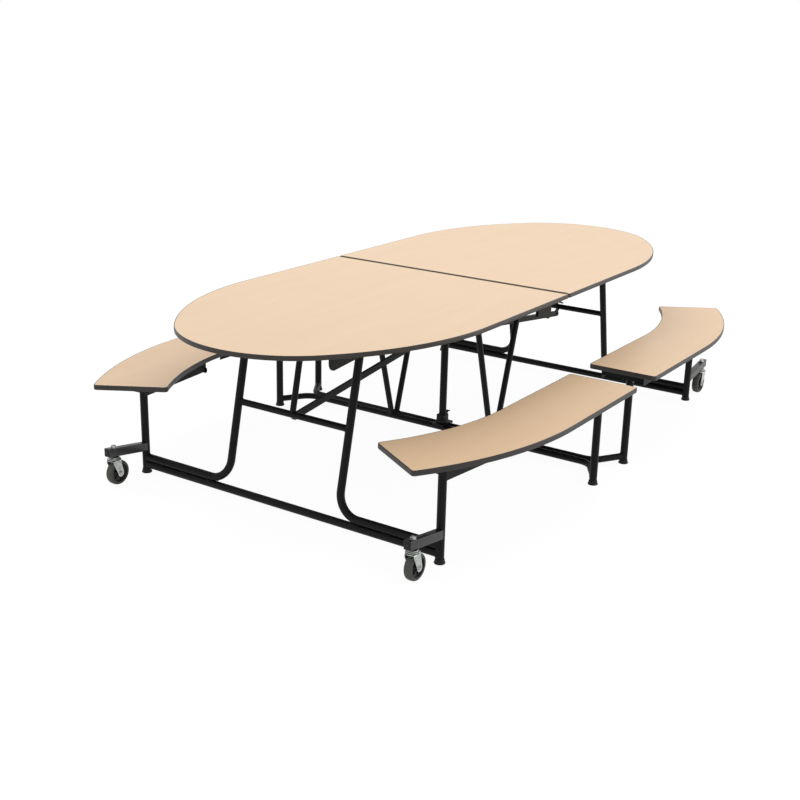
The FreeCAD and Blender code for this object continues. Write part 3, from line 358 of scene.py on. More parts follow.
def dressPiece(name, mesh, slot, body, replaced=(), sharp=40.0, finish=None):
    work = bmesh.new()
    work.from_mesh(mesh)
    bmesh.ops.remove_doubles(work, verts=work.verts, dist=2e-6)
    bmesh.ops.recalc_face_normals(work, faces=work.faces)
    work.to_mesh(mesh)
    work.free()
    mesh.shade_smooth()
    mesh.set_sharp_from_angle(angle=math.radians(sharp))
    mesh.materials.clear()
    mesh.materials.append(finishes[finish or slot])
    made = bpy.data.objects.new(name, mesh)
    bpy.context.scene.collection.objects.link(made)
    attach(made, body)
    if replaced:
        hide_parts(*replaced)
    return made


softening = {"angle": 32.0, "segments": 2}


def soften(name, body, width):
    # a copy of a CAD node with its sharp edges rounded over
    mesh = nodes[name].data.copy()
    mesh.name = name + "_soft"
    if mesh.has_custom_normals:
        mesh.attributes.remove(mesh.attributes["custom_normal"])
    made = dressPiece(name + "_soft", mesh, slotOf[name], body, (name,), softening["angle"])
    bevel = made.modifiers.new("rounding", "BEVEL")
    bevel.width = width / 1000
    bevel.segments = softening["segments"]
    bevel.limit_method = "ANGLE"
    bevel.angle_limit = math.radians(softening["angle"])
    bevel.harden_normals = False
    return made


band = {"inset": 3.3, "crown": 0.5, "lip": 0.25, "flat": 0.4, "ease": 1.5, "faceEase": 2.0,
        "lipEase": 0.3, "step": 14.0}
topPlan = {"half": 1505.0, "side": 591.0, "straight": 662.0, "endRadius": 441.0, "start": 1.5,
           "corner": 10.0}
seatPlan = {"inside": 662.0, "outside": 962.0, "start": 88.0, "straight": 662.0,
            "tipIn": (1237.0, 494.0), "tipOut": (1388.5, 742.0), "corner": 14.0}


def run(start, end, count=900):
    # a straight run, its points closer together near both ends
    share = (1 - np.cos(np.linspace(0, math.pi, count)))[:, None] / 2
    return np.array(start) * (1 - share) + np.array(end) * share


def arcRun(centre, radius, first, last, count=900):
    # the same along an arc, from the first angle to the last
    share = (1 - np.cos(np.linspace(0, math.pi, count))) / 2
    angle = first * (1 - share) + last * share
    return np.stack([centre[0] + radius * np.cos(angle), centre[1] + radius * np.sin(angle)], -1)


def roundedLoop(runs, radius, step):
    # anticlockwise runs joined by arcs whose centres lie a radius inside both neighbours
    loop = []
    ways = [np.gradient(points, axis=0) for points in runs]
    ways = [way / np.linalg.norm(way, axis=1, keepdims=True) for way in ways]
    inner = [points + radius * np.stack([-way[:, 1], way[:, 0]], -1)
             for points, way in zip(runs, ways)]
    cuts = []
    for here, there in zip(inner, inner[1:] + inner[:1]):
        late = len(here) // 2                  # the corner ends one run and starts the next
        gaps = np.linalg.norm(here[late:, None] - there[None, :len(there) // 2], axis=2)
        end, begin = np.unravel_index(gaps.argmin(), gaps.shape)
        cuts.append((late + end, begin))
    for place, points in enumerate(runs):
        first, last = cuts[place - 1][1], cuts[place][0]
        kept = points[first:last + 1]
        length = np.concatenate([[0], np.cumsum(np.linalg.norm(np.diff(kept, axis=0), axis=1))])
        even = np.linspace(0, length[-1], max(2, int(length[-1] / step) + 1))
        loop.append(np.stack([np.interp(even, length, kept[:, axis]) for axis in (0, 1)], -1))
        after = (place + 1) % len(runs)
        centre = inner[place][last]
        begin = points[last] - centre
        finish = runs[after][cuts[place][1]] - centre
        angle = math.atan2(begin[1], begin[0])
        sweep = (math.atan2(finish[1], finish[0]) - angle) % (2 * math.pi)
        turn = angle + sweep * np.linspace(0, 1, 9)[1:-1]
        loop.append(centre + radius * np.stack([np.cos(turn), np.sin(turn)], -1))
    return np.concatenate(loop)


def bandSurface(loop, low, high):
    # the profile (outwards, up) of a moulding, carried once round the outline
    half = (high - low) / 2
    lip, flat = half + band["lip"], band["flat"] * half
    outline = [(-band["inset"], -lip), (-band["crown"], -lip), (0.0, -flat), (0.0, flat),
               (-band["crown"], lip), (-band["inset"], lip)]
    eases = [band[name] for name in ("lipEase", "ease", "faceEase", "faceEase", "ease", "lipEase")]
    profile = eased(outline, eases, True)
    way = np.roll(loop, -1, axis=0) - np.roll(loop, 1, axis=0)
    way = way / np.linalg.norm(way, axis=1, keepdims=True)
    side = np.stack([way[:, 1], -way[:, 0], 0 * way[:, 0]], -1)
    path = np.column_stack([loop, np.full(len(loop), (low + high) / 2)])
    return carried(profile, path, side, (0.0, 0.0, 1.0), (True, True))


def topLoop(plan):
    # half the top: a shoulder arc touches each straight side and the end arc
    over = plan["half"] - plan["straight"] - plan["endRadius"]
    rise = plan["side"] ** 2 + over ** 2 - plan["endRadius"] ** 2
    radius = rise / (2 * plan["side"] - 2 * plan["endRadius"])
    centre = np.array([plan["straight"], plan["side"] - radius])
    endCentre = np.array([plan["half"] - plan["endRadius"], 0.0])
    meet = math.atan2(*(endCentre - centre)[::-1])
    low = arcRun((centre[0], -centre[1]), radius, -math.pi / 2, -meet, 400)
    end = arcRun(endCentre, plan["endRadius"], -meet, meet, 400)
    high = arcRun(centre, radius, meet, math.pi / 2, 400)
    start, side, straight = plan["start"], plan["side"], plan["straight"]
    around = np.concatenate([run((start, -side), (straight, -side))[:-1], low[:-1], end[:-1],
                             high[:-1], run((straight, side), (start, side))])
    return roundedLoop([around, run((start, side), (start, -side))], plan["corner"], band["step"])


def sideArc(straight, side, tip):
    # from the end of a straight side to a tip, as the centre, radius and angle of its arc
    across, drop = tip[0] - straight, side - tip[1]
    radius = (across ** 2 + drop ** 2) / (2 * drop)
    return (straight, side - radius), radius, math.asin(across / radius)


def seatLoop(plan):
    # a bench: straight sides that turn into arcs and end in a slanting tip
    start, straight = plan["start"], plan["straight"]
    inner, innerRadius, innerTurn = sideArc(straight, plan["inside"], plan["tipIn"])
    outer, outerRadius, outerTurn = sideArc(straight, plan["outside"], plan["tipOut"])
    inward = np.concatenate([run((start, plan["inside"]), (straight, plan["inside"]))[:-1],
                             arcRun(inner, innerRadius, math.pi / 2, math.pi / 2 - innerTurn)])
    outward = np.concatenate([arcRun(outer, outerRadius, math.pi / 2 - outerTurn, math.pi / 2)[:-1],
                              run((straight, plan["outside"]), (start, plan["outside"]))])
    runs = [inward, run(plan["tipIn"], plan["tipOut"]), outward,
            run((start, plan["outside"]), (start, plan["inside"]))]
    return roundedLoop(runs, plan["corner"], band["step"])


topBand = bandSurface(topLoop(topPlan), 1000 * top[0].z, 1000 * top[1].z)
seatBand = bandSurface(seatLoop(seatPlan), 1000 * seat[0].z, 1000 * seat[1].z)
for sideName, x in sides.items():
    makePiece("topMoulding_" + sideName, placedAt([topBand], x), "edge", "top_" + sideName,
              ("top_edge_" + sideName,))
    for rowName, y in rows.items():
        quarter = rowName + "_" + sideName
        makePiece("benchMoulding_" + quarter, placedAt([seatBand], x, y), "edge",
                  "bench_" + quarter, ("bench_edge_" + quarter,))

foldShade = {"near": 3.5, "far": 13.0, "half": 580.0, "proud": 0.4, "deep": 1.6}


def foldStrip(f):
    # a narrow dark brown strip let into the top along the fold edge: painted shade standing for the
    # shadow in the fold gap
    x, z = (f["near"] + f["far"]) / 2, 1000 * top[1].z + (f["proud"] - f["deep"]) / 2
    w, h = (f["far"] - f["near"]) / 2, (f["proud"] + f["deep"]) / 2
    profile = eased([(-w, -h), (w, -h), (w, h), (-w, h)], 0.35, True, 3)
    path = np.column_stack([np.full(4, x), f["half"] * np.array([-1.0, -1.0, 1.0, 1.0]),
                            np.full(4, z)])
    return [carried(profile, path, (1.0, 0.0, 0.0), (0.0, 0.0, 1.0), size=[0, 1, 1, 0])]


# dark strips along the fold edges: painted shade of the fold gap
for sideName, x in sides.items():
    makePiece("foldShade_" + sideName, placedAt(foldStrip(foldShade), x), "edge", "top_" + sideName,
              finish="foldShade")
print("edge mouldings made")


caster = {"stemX": 1327.0, "y": 713.0, "axleX": 1312.0, "axleZ": 51.1, "wheel": 50.8,
          "forkHalf": 19.75, "sheet": 2.5, "crownTop": 110.0, "nose": 15.0, "neck": 19.85,
          "disc": 28.0,
          "raceLow": 110.3, "socketLow": 120.0, "headLow": 103.2, "headTop": 106.7,
          "armTop": 158.4, "threadTop": 170.0, "hubInset": 12.3, "ribs": 6, "ribTurn": 0.3,
          "bend": 6.0, "pitch": 1.6, "edgeRound": 0.5, "edgeAngle": 50.0}


def tread(c):
    # crowned tread with a moulding line round its middle, round shoulders and a raised side ring;
    # the corners are radius and half width
    r = c["wheel"]
    half = eased([(r + 0.15, 0.0), (r - 0.1, 1.2), (r - 0.4, 8.0), (r - 2.0, 13.0),
                  (r - 5.5, 15.6), (r - 8.4, 15.9), (r - 8.9, 15.0), (r - 10.4, 15.0),
                  (r - 11.0, 15.6), (r - 12.2, 15.4), (r - 12.4, 13.0)],
                 [0, 0.4, 3, 3, 1.6, 0.7, 0.3, 0.3, 0.4, 0.4, 0.4], steps=4)
    profile = np.concatenate([half, half[::-1] * [1, -1]])
    return [turned(profile, (c["axleX"], c["y"], c["axleZ"]), "y", 72, True)]


def hub(c):
    # rim, dished web and boss as one turned outline, and ribs across the dish
    r = c["wheel"] - c["hubInset"]
    half = eased([(r, 0.0), (r, 15.2), (r - 2.6, 15.2), (r - 3.6, 9.0), (17.0, 8.0),
                  (12.0, 10.0), (11.0, 17.6), (5.3, 18.1), (5.2, 0.0)],
                 [0, 0.8, 0.8, 2, 3, 2, 1, 0.6, 0], steps=4)
    profile = np.concatenate([half, half[::-1] * [1, -1]])
    centre = np.array([c["axleX"], c["y"], c["axleZ"]])
    made = [turned(profile, centre, "y", 60, True)]
    section = eased([(-1.5, -12.6), (1.5, -12.6), (1.5, 12.6), (-1.5, 12.6)], 0.7, True, 3)
    for turn in np.arange(c["ribs"]) * 2 * math.pi / c["ribs"] + c["ribTurn"]:
        out = np.array([math.cos(turn), 0.0, math.sin(turn)])
        path = centre + out * np.array([9.0, 9.0, r - 2.0, r - 2.0])[:, None]
        across = (0.0, 1.0, 0.0)
        made.append(carried(section, path, np.cross(out, across), across, size=[0, 1, 1, 0]))
    return made


def forkSheet(c):
    # a strip of sheet bent over the wheel: up one leg, across the crown and down the other; its
    # half width is a half circle at each end, then widens to the neck, then follows the crown
    top, bend = c["crownTop"] - c["sheet"] / 2, c["bend"]
    low = c["axleZ"] - c["nose"]
    share = (1 - np.cos(np.linspace(0, math.pi / 2, 9))) * c["nose"]
    leg = np.concatenate([low + share, np.linspace(c["axleZ"], top - bend, 14)[1:]])
    turn = np.linspace(0, math.pi / 2, 6)[1:-1]
    wide = c["forkHalf"]
    y = np.concatenate([np.full(len(leg), -wide), -wide + bend * (1 - np.cos(turn)),
                        np.linspace(bend - wide, wide - bend, 15),
                        wide - bend * (1 - np.sin(turn)), np.full(len(leg), wide)])
    z = np.concatenate([leg, top - bend + bend * np.sin(turn), np.full(15, top),
                        top - bend + bend * np.cos(turn), leg[::-1]])
    rise = np.clip((z - c["axleZ"]) / (top - bend - 8.0 - c["axleZ"]), 0, 1)
    nose = np.sqrt(np.clip(c["nose"] ** 2 - np.clip(c["axleZ"] - z, 0, None) ** 2, 0, None))
    half = np.where(z < c["axleZ"], nose, c["nose"] + (c["neck"] - c["nose"]) * rise)
    crown = np.sqrt(c["disc"] ** 2 - np.minimum(np.abs(y), wide) ** 2)
    half = np.where(np.abs(y) < wide - 0.01, crown, half)
    middle = c["axleX"] + (c["stemX"] - c["axleX"]) * rise
    across = np.linspace(-1, 1, 13)
    x = middle[:, None] + half[:, None] * across[None]
    points = np.stack([x, np.broadcast_to(c["y"] + y[:, None], x.shape),
                       np.broadcast_to(z[:, None], x.shape)], -1)
    return spread(points, (False, False))


def axleBolt(c):
    # shank, a nut and a washer at both sides of the fork, and a domed cap over each end
    out, nut, thick = c["forkHalf"] + c["sheet"] / 2, 4.0, 1.1
    dome = eased([(0.0, 4.6), (4.6, 4.4), (5.2, 3.2), (5.2, 0.0), (0.0, 0.0)], [0, 1, 0.6, 0.2, 0])
    centre = (c["axleX"], c["y"], c["axleZ"])
    shank = turned([(0, -out - 3), (4.9, -out - 3), (4.9, out + 3), (0, out + 3)], centre, "y", 24)
    near, far = (hexed(7.36, nut, 0.8, 4.8, (centre[0], y, centre[2]), "y")
                 for y in (centre[1] - out - nut, centre[1] + out))
    washers = [turned(eased([(4.8, d), (10.0, d), (10.0, d + thick), (4.8, d + thick)], 0.3, True,
                            3), centre, "y", 30, True) for d in (-out - thick, out)]
    ends = [turned(dome * [1, way], (centre[0], centre[1] + way * (out + 1.5), centre[2]), "y", 24)
            for way in (-1, 1)]
    return [shank, near, far] + washers + ends


def stemHardware(c):
    # swivel race discs, bolt head under the crown, washer, nut and thread on top of the arm;
    # the corners are radius and height
    at = (c["stemX"], c["y"], 0.0)
    low, high = c["raceLow"], c["socketLow"]
    lower = eased([(6.2, low + 2.2), (25.6, low + 2.2), (26.0, low + 4.2), (24.0, low + 5.9),
                   (6.2, low + 5.9)], [0.3, 1.0, 1.0, 1.2, 0.3], True)
    upper = eased([(6.2, low + 5.9), (19.6, low + 5.9), (20.0, high - 2.0), (18.4, high),
                   (6.2, high)], [0.3, 0.7, 0.8, 1.0, 0.3], True)
    h, t = c["headLow"], c["headTop"]
    head = eased([(0.0, h), (9.0, h), (11.0, h + 2.0), (11.0, t), (0.0, t)], [0, 2, 1, 0.3, 0])
    a = c["armTop"]
    washer = eased([(6.0, a), (12.6, a), (12.6, a + 1.8), (6.0, a + 1.8)], 0.4, True, 3)
    height = np.linspace(t, c["threadTop"] - 1.0, 120)
    thread = np.column_stack([5.7 + 0.3 * np.sin(height * 2 * math.pi / c["pitch"]), height])
    thread = np.concatenate([[[0.0, t]], thread, [[4.6, c["threadTop"]], [0.0, c["threadTop"]]]])
    return [turned(lower, at, "z", 48, True), turned(upper, at, "z", 48, True),
            turned(head, at, "z", 32), turned(washer, at, "z", 32, True),
            turned(thread, at, "z", 24), hexed(9.6, 8.0, 1.4, 5.6, (at[0], at[1], a + 1.8))]


def forkShadeRing(c):
    # black ring between the crown and the lower race: painted shade standing for the shadow of the
    # fork opening
    low = c["raceLow"]
    ring = eased([(6.2, low), (26.4, low), (27.0, low + 1.2), (26.0, low + 2.2), (6.2, low + 2.2)],
                 [0.2, 0.6, 0.6, 0.8, 0.2], True, 4)
    return [turned(ring, (c["stemX"], c["y"], 0.0), "z", 48, True)]


for sideName, x in sides.items():
    makePiece("stemHardware_" + sideName, frontAndBack(stemHardware(caster), x), "zinc",
              "end_frame_" + sideName, ("caster_stems_" + sideName,))
    # black rings on the crowns: painted shade of the fork openings
    makePiece("forkShadeRings_" + sideName, frontAndBack(forkShadeRing(caster), x), "foot",
              "end_frame_" + sideName)
    for rowName, y in rows.items():
        quarter = rowName + "_" + sideName
        makePiece("tread_" + quarter, placedAt(tread(caster), x, y), "tyre", "wheel_" + quarter,
                  ("wheel_tyre_" + quarter,))
        makePiece("hubMoulding_" + quarter, placedAt(hub(caster), x, y), "hub", "wheel_" + quarter,
                  ("wheel_hub_" + quarter,))
        fork = makePiece("forkStamping_" + quarter, placedAt([forkSheet(caster)], x, y), "zinc",
                         "caster_" + quarter, ("caster_fork_" + quarter,), caster["edgeAngle"])
        wall = fork.modifiers.new("sheet", "SOLIDIFY")
        wall.thickness = caster["sheet"] / 1000
        wall.offset = 0.0
        rounding = fork.modifiers.new("rounding", "BEVEL")
        rounding.width = caster["edgeRound"] / 1000
        rounding.segments = 2
        rounding.limit_method = "ANGLE"
        rounding.angle_limit = math.radians(caster["edgeAngle"])
        makePiece("axleBolt_" + quarter, placedAt(axleBolt(caster), x, y), "zinc",
                  "caster_" + quarter)
print("casters made")


arm = {"postX": 1151.0, "endX": 1362.0, "y": 713.0, "low": 96.0, "rise": 33.0, "height": 35.0,
       "halfWidth": 15.0, "corner": 3.2, "plugShare": 0.86}
feet = {"outer": (1151.0, 713.0, 16.0), "inner": (150.7, 826.5, 15.9), "sole": 21.0, "neck": 17.6,
        "height": 18.0}


def armTube(a):
    # a round cornered section carried up the slope; each station stays upright, so the end is plumb
    x = np.array([a["postX"], a["postX"], a["endX"] - 1.2, a["endX"] - 0.3, a["endX"], a["endX"],
                  a["endX"] - 3.0, a["endX"] - 3.0])
    size = [0, 1, 1, 0.985, 0.95, 0.87, 0.85, 0]
    z = a["low"] + a["height"] / 2 + a["rise"] * (x - a["postX"]) / (a["endX"] - a["postX"])
    path = np.column_stack([x, np.full(len(x), a["y"]), z])
    w, h = a["halfWidth"], a["height"] / 2
    profile = eased([(-w, -h), (w, -h), (w, h), (-w, h)], a["corner"], True, 6)
    return [carried(profile, path, (0.0, 1.0, 0.0), (0.0, 0.0, 1.0), size=size)]


def armPlug(a):
    # moulded end plug, slightly domed
    z = a["low"] + a["rise"] + a["height"] / 2
    w, h = a["halfWidth"] * a["plugShare"], a["height"] / 2 * a["plugShare"]
    profile = eased([(-w, -h), (w, -h), (w, h), (-w, h)], a["corner"], True, 6)
    x = a["endX"] + np.array([-6.0, -6.0, -0.8, 0.1, 0.7, 0.9])
    path = np.column_stack([x, np.full(6, a["y"]), np.full(6, z)])
    return [carried(profile, path, (0.0, 1.0, 0.0), (0.0, 0.0, 1.0),
                    size=[0, 1, 1, 0.94, 0.6, 0])]


def armRivet(a):
    # a rivet head in the middle of the plug
    z = a["low"] + a["rise"] + a["height"] / 2
    dome = eased([(0.0, 0.0), (3.6, 0.0), (3.6, 1.0), (2.2, 1.9), (0.0, 2.1)],
                 [0, 0.2, 0.6, 0.8, 0])
    return [turned(dome, (a["endX"] + 0.5, a["y"], z), "x", 20)]


def foot(x, y, post, f):
    # flared cup: wide sole with a groove above it, drawn in to a neck that hugs the post
    s, n, h = f["sole"], f["neck"], f["height"]
    profile = eased([(0, 0), (s - 1.4, 0), (s, 1.6), (s, 4.6), (s - 1.6, 5.6), (s - 1.8, 7.0),
                     (n + 0.6, 11.5), (n, h - 1.0), (n - 0.8, h), (post - 0.4, h),
                     (post - 0.4, h - 3), (0, h - 3)],
                    [0, 1.2, 1.2, 1.0, 0.8, 0.8, 3, 0.7, 0.5, 0.2, 0.2, 0], steps=4)
    return turned(profile, (x, y, 0.0), "z", 44)


for sideName, x in sides.items():
    frameBody = "end_frame_" + sideName
    makePiece("armTube_" + sideName, frontAndBack(armTube(arm), x), "frame", frameBody,
              ("caster_arms_" + sideName,), finish="armPaint")
    makePiece("armPlug_" + sideName, frontAndBack(armPlug(arm), x), "foot", frameBody)
    makePiece("armRivet_" + sideName, frontAndBack(armRivet(arm), x), "frame", frameBody,
              finish="armPaint")
    for kind, node, body in (("outer", "end_feet_", frameBody),
                             ("inner", "centre_feet_", "centre_frame_" + sideName)):
        makePiece(kind + "Feet_" + sideName, frontAndBack([foot(*feet[kind], feet)], x), "foot",
                  body, (node + sideName,))
print("arms and feet made")


softSteel = {"top_rails": 0.7, "sync_strut": 1.2, "bench_frame": 0.8, "centre_link": 0.8,
             "centre_post": 0.8}
for sideName in sides:
    soften("top_rails_" + sideName, "top_" + sideName, softSteel["top_rails"])
    soften("sync_strut_" + sideName, "strut_" + sideName, softSteel["sync_strut"])
    for rowName in rows:
        quarter = rowName + "_" + sideName
        soften("bench_frame_" + quarter, "bench_" + quarter, softSteel["bench_frame"])
soften("centre_link", "hinge_link", softSteel["centre_link"])
soften("centre_post", "hinge_link", softSteel["centre_post"])
print("steel edges rounded")


welds = {"radius": 2.1, "ripple": 0.22, "pitch": 4.2, "inset": 1.6,
         "seams": ((330, 372), (470, 512), (610, 652)), "seamOut": 11.0, "seamRadius": 2.6,
         "seamRipples": 11}


def saddle(root, way, size, axis, big, count=64):
    # the closed line where a round tube that leaves root along way meets a bigger tube along axis
    way, axis = (np.array(v, float) / np.linalg.norm(v) for v in (way, axis))
    side = np.cross(axis, way)
    side = side / np.linalg.norm(side)
    above = np.cross(way, side)
    turn = np.linspace(0, 2 * math.pi, count, endpoint=False)[:, None]
    ring = size * (np.cos(turn) * side + np.sin(turn) * above)
    # distance along way at which the ring's point leaves the big tube, both square to its axis
    flatRing = ring - (ring @ axis)[:, None] * axis
    flatWay = way - (way @ axis) * axis
    a = flatWay @ flatWay
    b = 2 * flatRing @ flatWay
    c = (flatRing ** 2).sum(axis=1) - big ** 2
    reach = (-b + np.sqrt(np.maximum(b ** 2 - 4 * a * c, 0.0))) / (2 * a)
    return np.array(root) + ring + reach[:, None] * way


def ringBead(root, way, size, axis, big):
    # a weld bead round the foot of a tube, with its ripples a pitch apart
    ripples = round(2 * math.pi * size / welds["pitch"])
    return bead(saddle(root, way, size, axis, big), welds["radius"], welds["ripple"], ripples,
                closed=True)


frameLines = {"pivotX": 1014.0, "pivotZ": 696.5, "lean": 12.26, "legY": 266.0, "leg": 15.5,
              "base": 15.5, "baseZ": 36.3, "runZ": 67.4, "postX": 1151.0, "postY": 713.0,
              "post": 16.0, "braceZ": 382.0, "brace": 13.0, "upright": 12.0, "pivot": 14.0,
              "centrePivotX": 211.0, "centreX": 18.0, "centreZ": 32.5, "centre": 14.0,
              "vY": 265.0, "v": 13.0, "innerX": 150.7, "innerY": 826.5, "inner": 15.9,
              "sweep": 83.0}


def endWelds(f):
    # beads where the end frame's tubes meet, and seams between the leg's run and the base tube
    lean = math.tan(math.radians(f["lean"]))
    braceX = f["pivotX"] + (f["pivotZ"] - f["braceZ"]) * lean
    legWay = np.array([-lean, 0.0, 1.0])
    inwards, upwards, along = (0, -1, 0), (0, 0, 1), (0, 1, 0)
    post = (f["postX"], f["postY"])
    made = [ringBead((*post, f["baseZ"]), inwards, f["base"], upwards, f["post"]),
            ringBead((*post, f["runZ"]), inwards, f["leg"], upwards, f["post"]),
            ringBead((braceX, f["legY"], f["braceZ"]), inwards, f["brace"], legWay, f["leg"]),
            ringBead((f["pivotX"], f["legY"], f["pivotZ"]), -legWay, f["leg"] - welds["inset"],
                     along, f["pivot"])]
    made += placedAt(made, 1, -1)
    made.append(ringBead((braceX, 0, f["braceZ"]), legWay, f["upright"], along, f["brace"]))
    made.append(ringBead((f["pivotX"], 0, f["pivotZ"]), -legWay, f["upright"], along, f["pivot"]))
    seamZ = (f["baseZ"] + f["runZ"]) / 2
    for y in rows.values():
        for start, end in welds["seams"]:
            path = np.linspace((f["postX"] + welds["seamOut"], y * start, seamZ),
                               (f["postX"] + welds["seamOut"], y * end, seamZ), 60)
            for shift in (0.0, 2 * welds["seamOut"]):
                made.append(bead(path - [shift, 0, 0], welds["seamRadius"], welds["ripple"],
                                 welds["seamRipples"]))
    return made


def centreWelds(f):
    # beads at both ends of the V-legs and where the base tube meets the inner post
    way = np.array([f["centrePivotX"] - f["centreX"], 0.0, f["pivotZ"] - f["centreZ"]])
    along = (0, 1, 0)
    made = [ringBead((f["centreX"], f["vY"], f["centreZ"]), way, f["v"], along, f["centre"]),
            ringBead((f["centrePivotX"], f["vY"], f["pivotZ"]), -way, f["v"], along, f["pivot"]),
            ringBead((f["innerX"], f["innerY"], f["centreZ"]),
                     (f["centreX"] - f["innerX"], -f["sweep"], 0), f["centre"], (0, 0, 1),
                     f["inner"])]
    return made + placedAt(made, 1, -1)


for sideName, x in sides.items():
    makePiece("endWelds_" + sideName, placedAt(endWelds(frameLines), x), "frame",
              "end_frame_" + sideName)
    makePiece("centreWelds_" + sideName, placedAt(centreWelds(frameLines), x), "frame",
              "centre_frame_" + sideName)
print("welds made")


def strip(path, width, thick):
    # a flat strip with rounded edges along a line of points; its width lies along Y
    across = np.array([0.0, 1.0, 0.0])
    way = np.gradient(path, axis=0)
    way = way / np.linalg.norm(way, axis=1, keepdims=True)
    side = across - (way @ across)[:, None] * way
    side = side / np.linalg.norm(side, axis=1, keepdims=True)
    above = np.cross(way, side)
    w, h = width / 2, thick / 2
    profile = eased([(-w, -h), (w, -h), (w, h), (-w, h)], 0.45 * h, True, 3)
    ends = np.r_[0, np.arange(len(path)), len(path) - 1]
    size = np.ones(len(ends))
    size[[0, -1]] = 0.0
    return carried(profile, path[ends], side[ends], above[ends], size=size)


def curve(corners, radius):
    # a line with eased corners in the XZ plane; its Y is that of the first corner
    corners = np.array(corners, float)
    flat = eased(corners[:, (0, 2)], radius)
    keep = np.r_[True, np.linalg.norm(np.diff(flat, axis=0), axis=1) > 1e-6]
    points = np.repeat(corners[:1], keep.sum(), axis=0)
    points[:, (0, 2)] = flat[keep]
    return points


def screw(x, y, z, radius=5.5, height=2.6):
    # a domed screw head below the sheet at z
    dome = eased([(0.0, -height), (radius * 0.6, -height), (radius, -0.9), (radius, 0.0),
                  (0.0, 0.0)], [0, 1.2, 0.8, 0.1, 0])
    return turned(dome, (x, y, z), "z", 18)


postFoot = {"low": 52.0, "high": 80.0, "wide": 31.0, "narrow": 19.9, "bore": 16.2,
            "lever": (20.0, 50.0), "leverZ": 90.0, "leverWidth": 16.0, "leverSheet": 6.0,
            "pin": (-26.0, 27.0), "pinRadius": 4.0}


def footCone(p):
    # flared bush round the foot of the centre post
    low, high, wide, narrow, bore = (p[name] for name in ("low", "high", "wide", "narrow", "bore"))
    profile = eased([(wide - 12, low), (wide, low), (wide, low + 5), (wide - 7, low + 20),
                     (narrow + 2, high - 7), (narrow + 1, high), (bore, high + 1.5),
                     (bore, high - 4)], [0, 2, 2.5, 7, 4, 1.2, 0.4, 0], steps=4)
    return [turned(profile, (0, 0, 0), "z", 40, True)]


def footLever(p):
    # release lever bent out of a strip, with its pin through the post
    near, far = p["lever"]
    z = p["leverZ"]
    path = curve([(near - 8, 0, z - 12), (near + 6, 0, z - 10), (near + 14, 0, z + 6),
                  (far, 0, z + 2)], 5)
    line = np.linspace((p["pin"][0], 0.0, z + 8), (p["pin"][1], 0.0, z + 8), 12)
    return [strip(path, p["leverWidth"], p["leverSheet"]), bead(line, p["pinRadius"], around=12)]


makePiece("postFoot", footCone(postFoot), "foot", "hinge_link")
makePiece("postLever", footLever(postFoot), "frame", "hinge_link")
panClip = {"inner": (690.0, 908.0), "outer": (862.0, 650.0), "under": 409.5, "drop": 28.0,
           "hook": (18.0, 3.0), "tongue": (12.0, 1.8)}


def panHook(c):
    # a bent tab at the near corner of the outer pan, its tip turned back up
    x, y = c["outer"]
    z = c["under"] - c["drop"]
    path = curve([(x + 10, y, z + 14), (x - 6, y, z + 10), (x - 10, y, z - 6),
                  (x - 2, y, z - 12)], 6)
    return [strip(path, *c["hook"])]


def panTongue(c):
    # a plated spring tongue where the far wall of the inner pan ends
    x, y = c["inner"]
    z = c["under"] - c["drop"]
    path = curve([(x - 26, y, z + 8), (x - 4, y, z + 4), (x + 8, y, z - 1),
                  (x + 14, y, z + 4)], 5)
    return [strip(path, *c["tongue"])]


railScrews = {"z": 716.1, "rail": (321.0, (140.0, 330.0, 520.0, 710.0, 900.0, 1100.0, 1220.0)),
              "leaf": (491.0, (95.0, 140.0))}
panScrews = {"z": 407.0, "head": (4.5, 2.2),
             "inner": ((150.0, 735.0), (420.0, 735.0), (660.0, 735.0),
                       (150.0, 885.0), (420.0, 885.0), (660.0, 885.0)),
             "outer": ((890.0, 690.0), (1060.0, 672.0), (1235.0, 650.0),
                       (890.0, 805.0), (1060.0, 785.0), (1235.0, 765.0))}
for sideName, x in sides.items():
    heads = [screw(at, y * lineY, railScrews["z"])
             for lineY, places in (railScrews["rail"], railScrews["leaf"])
             for at in places for y in rows.values()]
    makePiece("railScrews_" + sideName, placedAt(heads, x), "zinc", "top_" + sideName)
    for rowName, y in rows.items():
        quarter = rowName + "_" + sideName
        heads = [screw(*at, panScrews["z"], *panScrews["head"])
                 for at in panScrews["inner"] + panScrews["outer"]]
        makePiece("panScrews_" + quarter, placedAt(heads, x, y), "zinc", "bench_" + quarter)
        makePiece("panHook_" + quarter, placedAt(panHook(panClip), x, y), "frame",
                  "bench_" + quarter)
        makePiece("panTongue_" + quarter, placedAt(panTongue(panClip), x, y), "zinc",
                  "bench_" + quarter)
print("clips and screws made")


camera = {"lens": 55.217, "place": (-4.49666, -2.74939, 1.90274), "azimuth": -56.4385,
          "elevation": 18.4048, "roll": 1.3831, "clipEnd": 60.0}


def placeCamera(settings):
    # looks along the azimuth and elevation from its place, then rolls about its own axis
    data = bpy.data.cameras.new("camera")
    data.lens = settings["lens"]
    data.clip_end = settings["clipEnd"]
    made = bpy.data.objects.new("camera", data)
    bpy.context.scene.collection.objects.link(made)
    turn, lift, roll = (math.radians(settings[k]) for k in ("azimuth", "elevation", "roll"))
    back = np.array([math.sin(turn) * math.cos(lift), -math.cos(turn) * math.cos(lift),
                     math.sin(lift)])
    right = np.cross([0.0, 0.0, 1.0], back)
    right = right / np.linalg.norm(right)
    up = np.cross(back, right)
    across = math.cos(roll) * right + math.sin(roll) * up
    above = -math.sin(roll) * right + math.cos(roll) * up
    stand = Matrix(np.stack([across, above, back], axis=1).tolist()).to_4x4()
    stand.translation = settings["place"]
    made.matrix_world = stand
    bpy.context.scene.camera = made


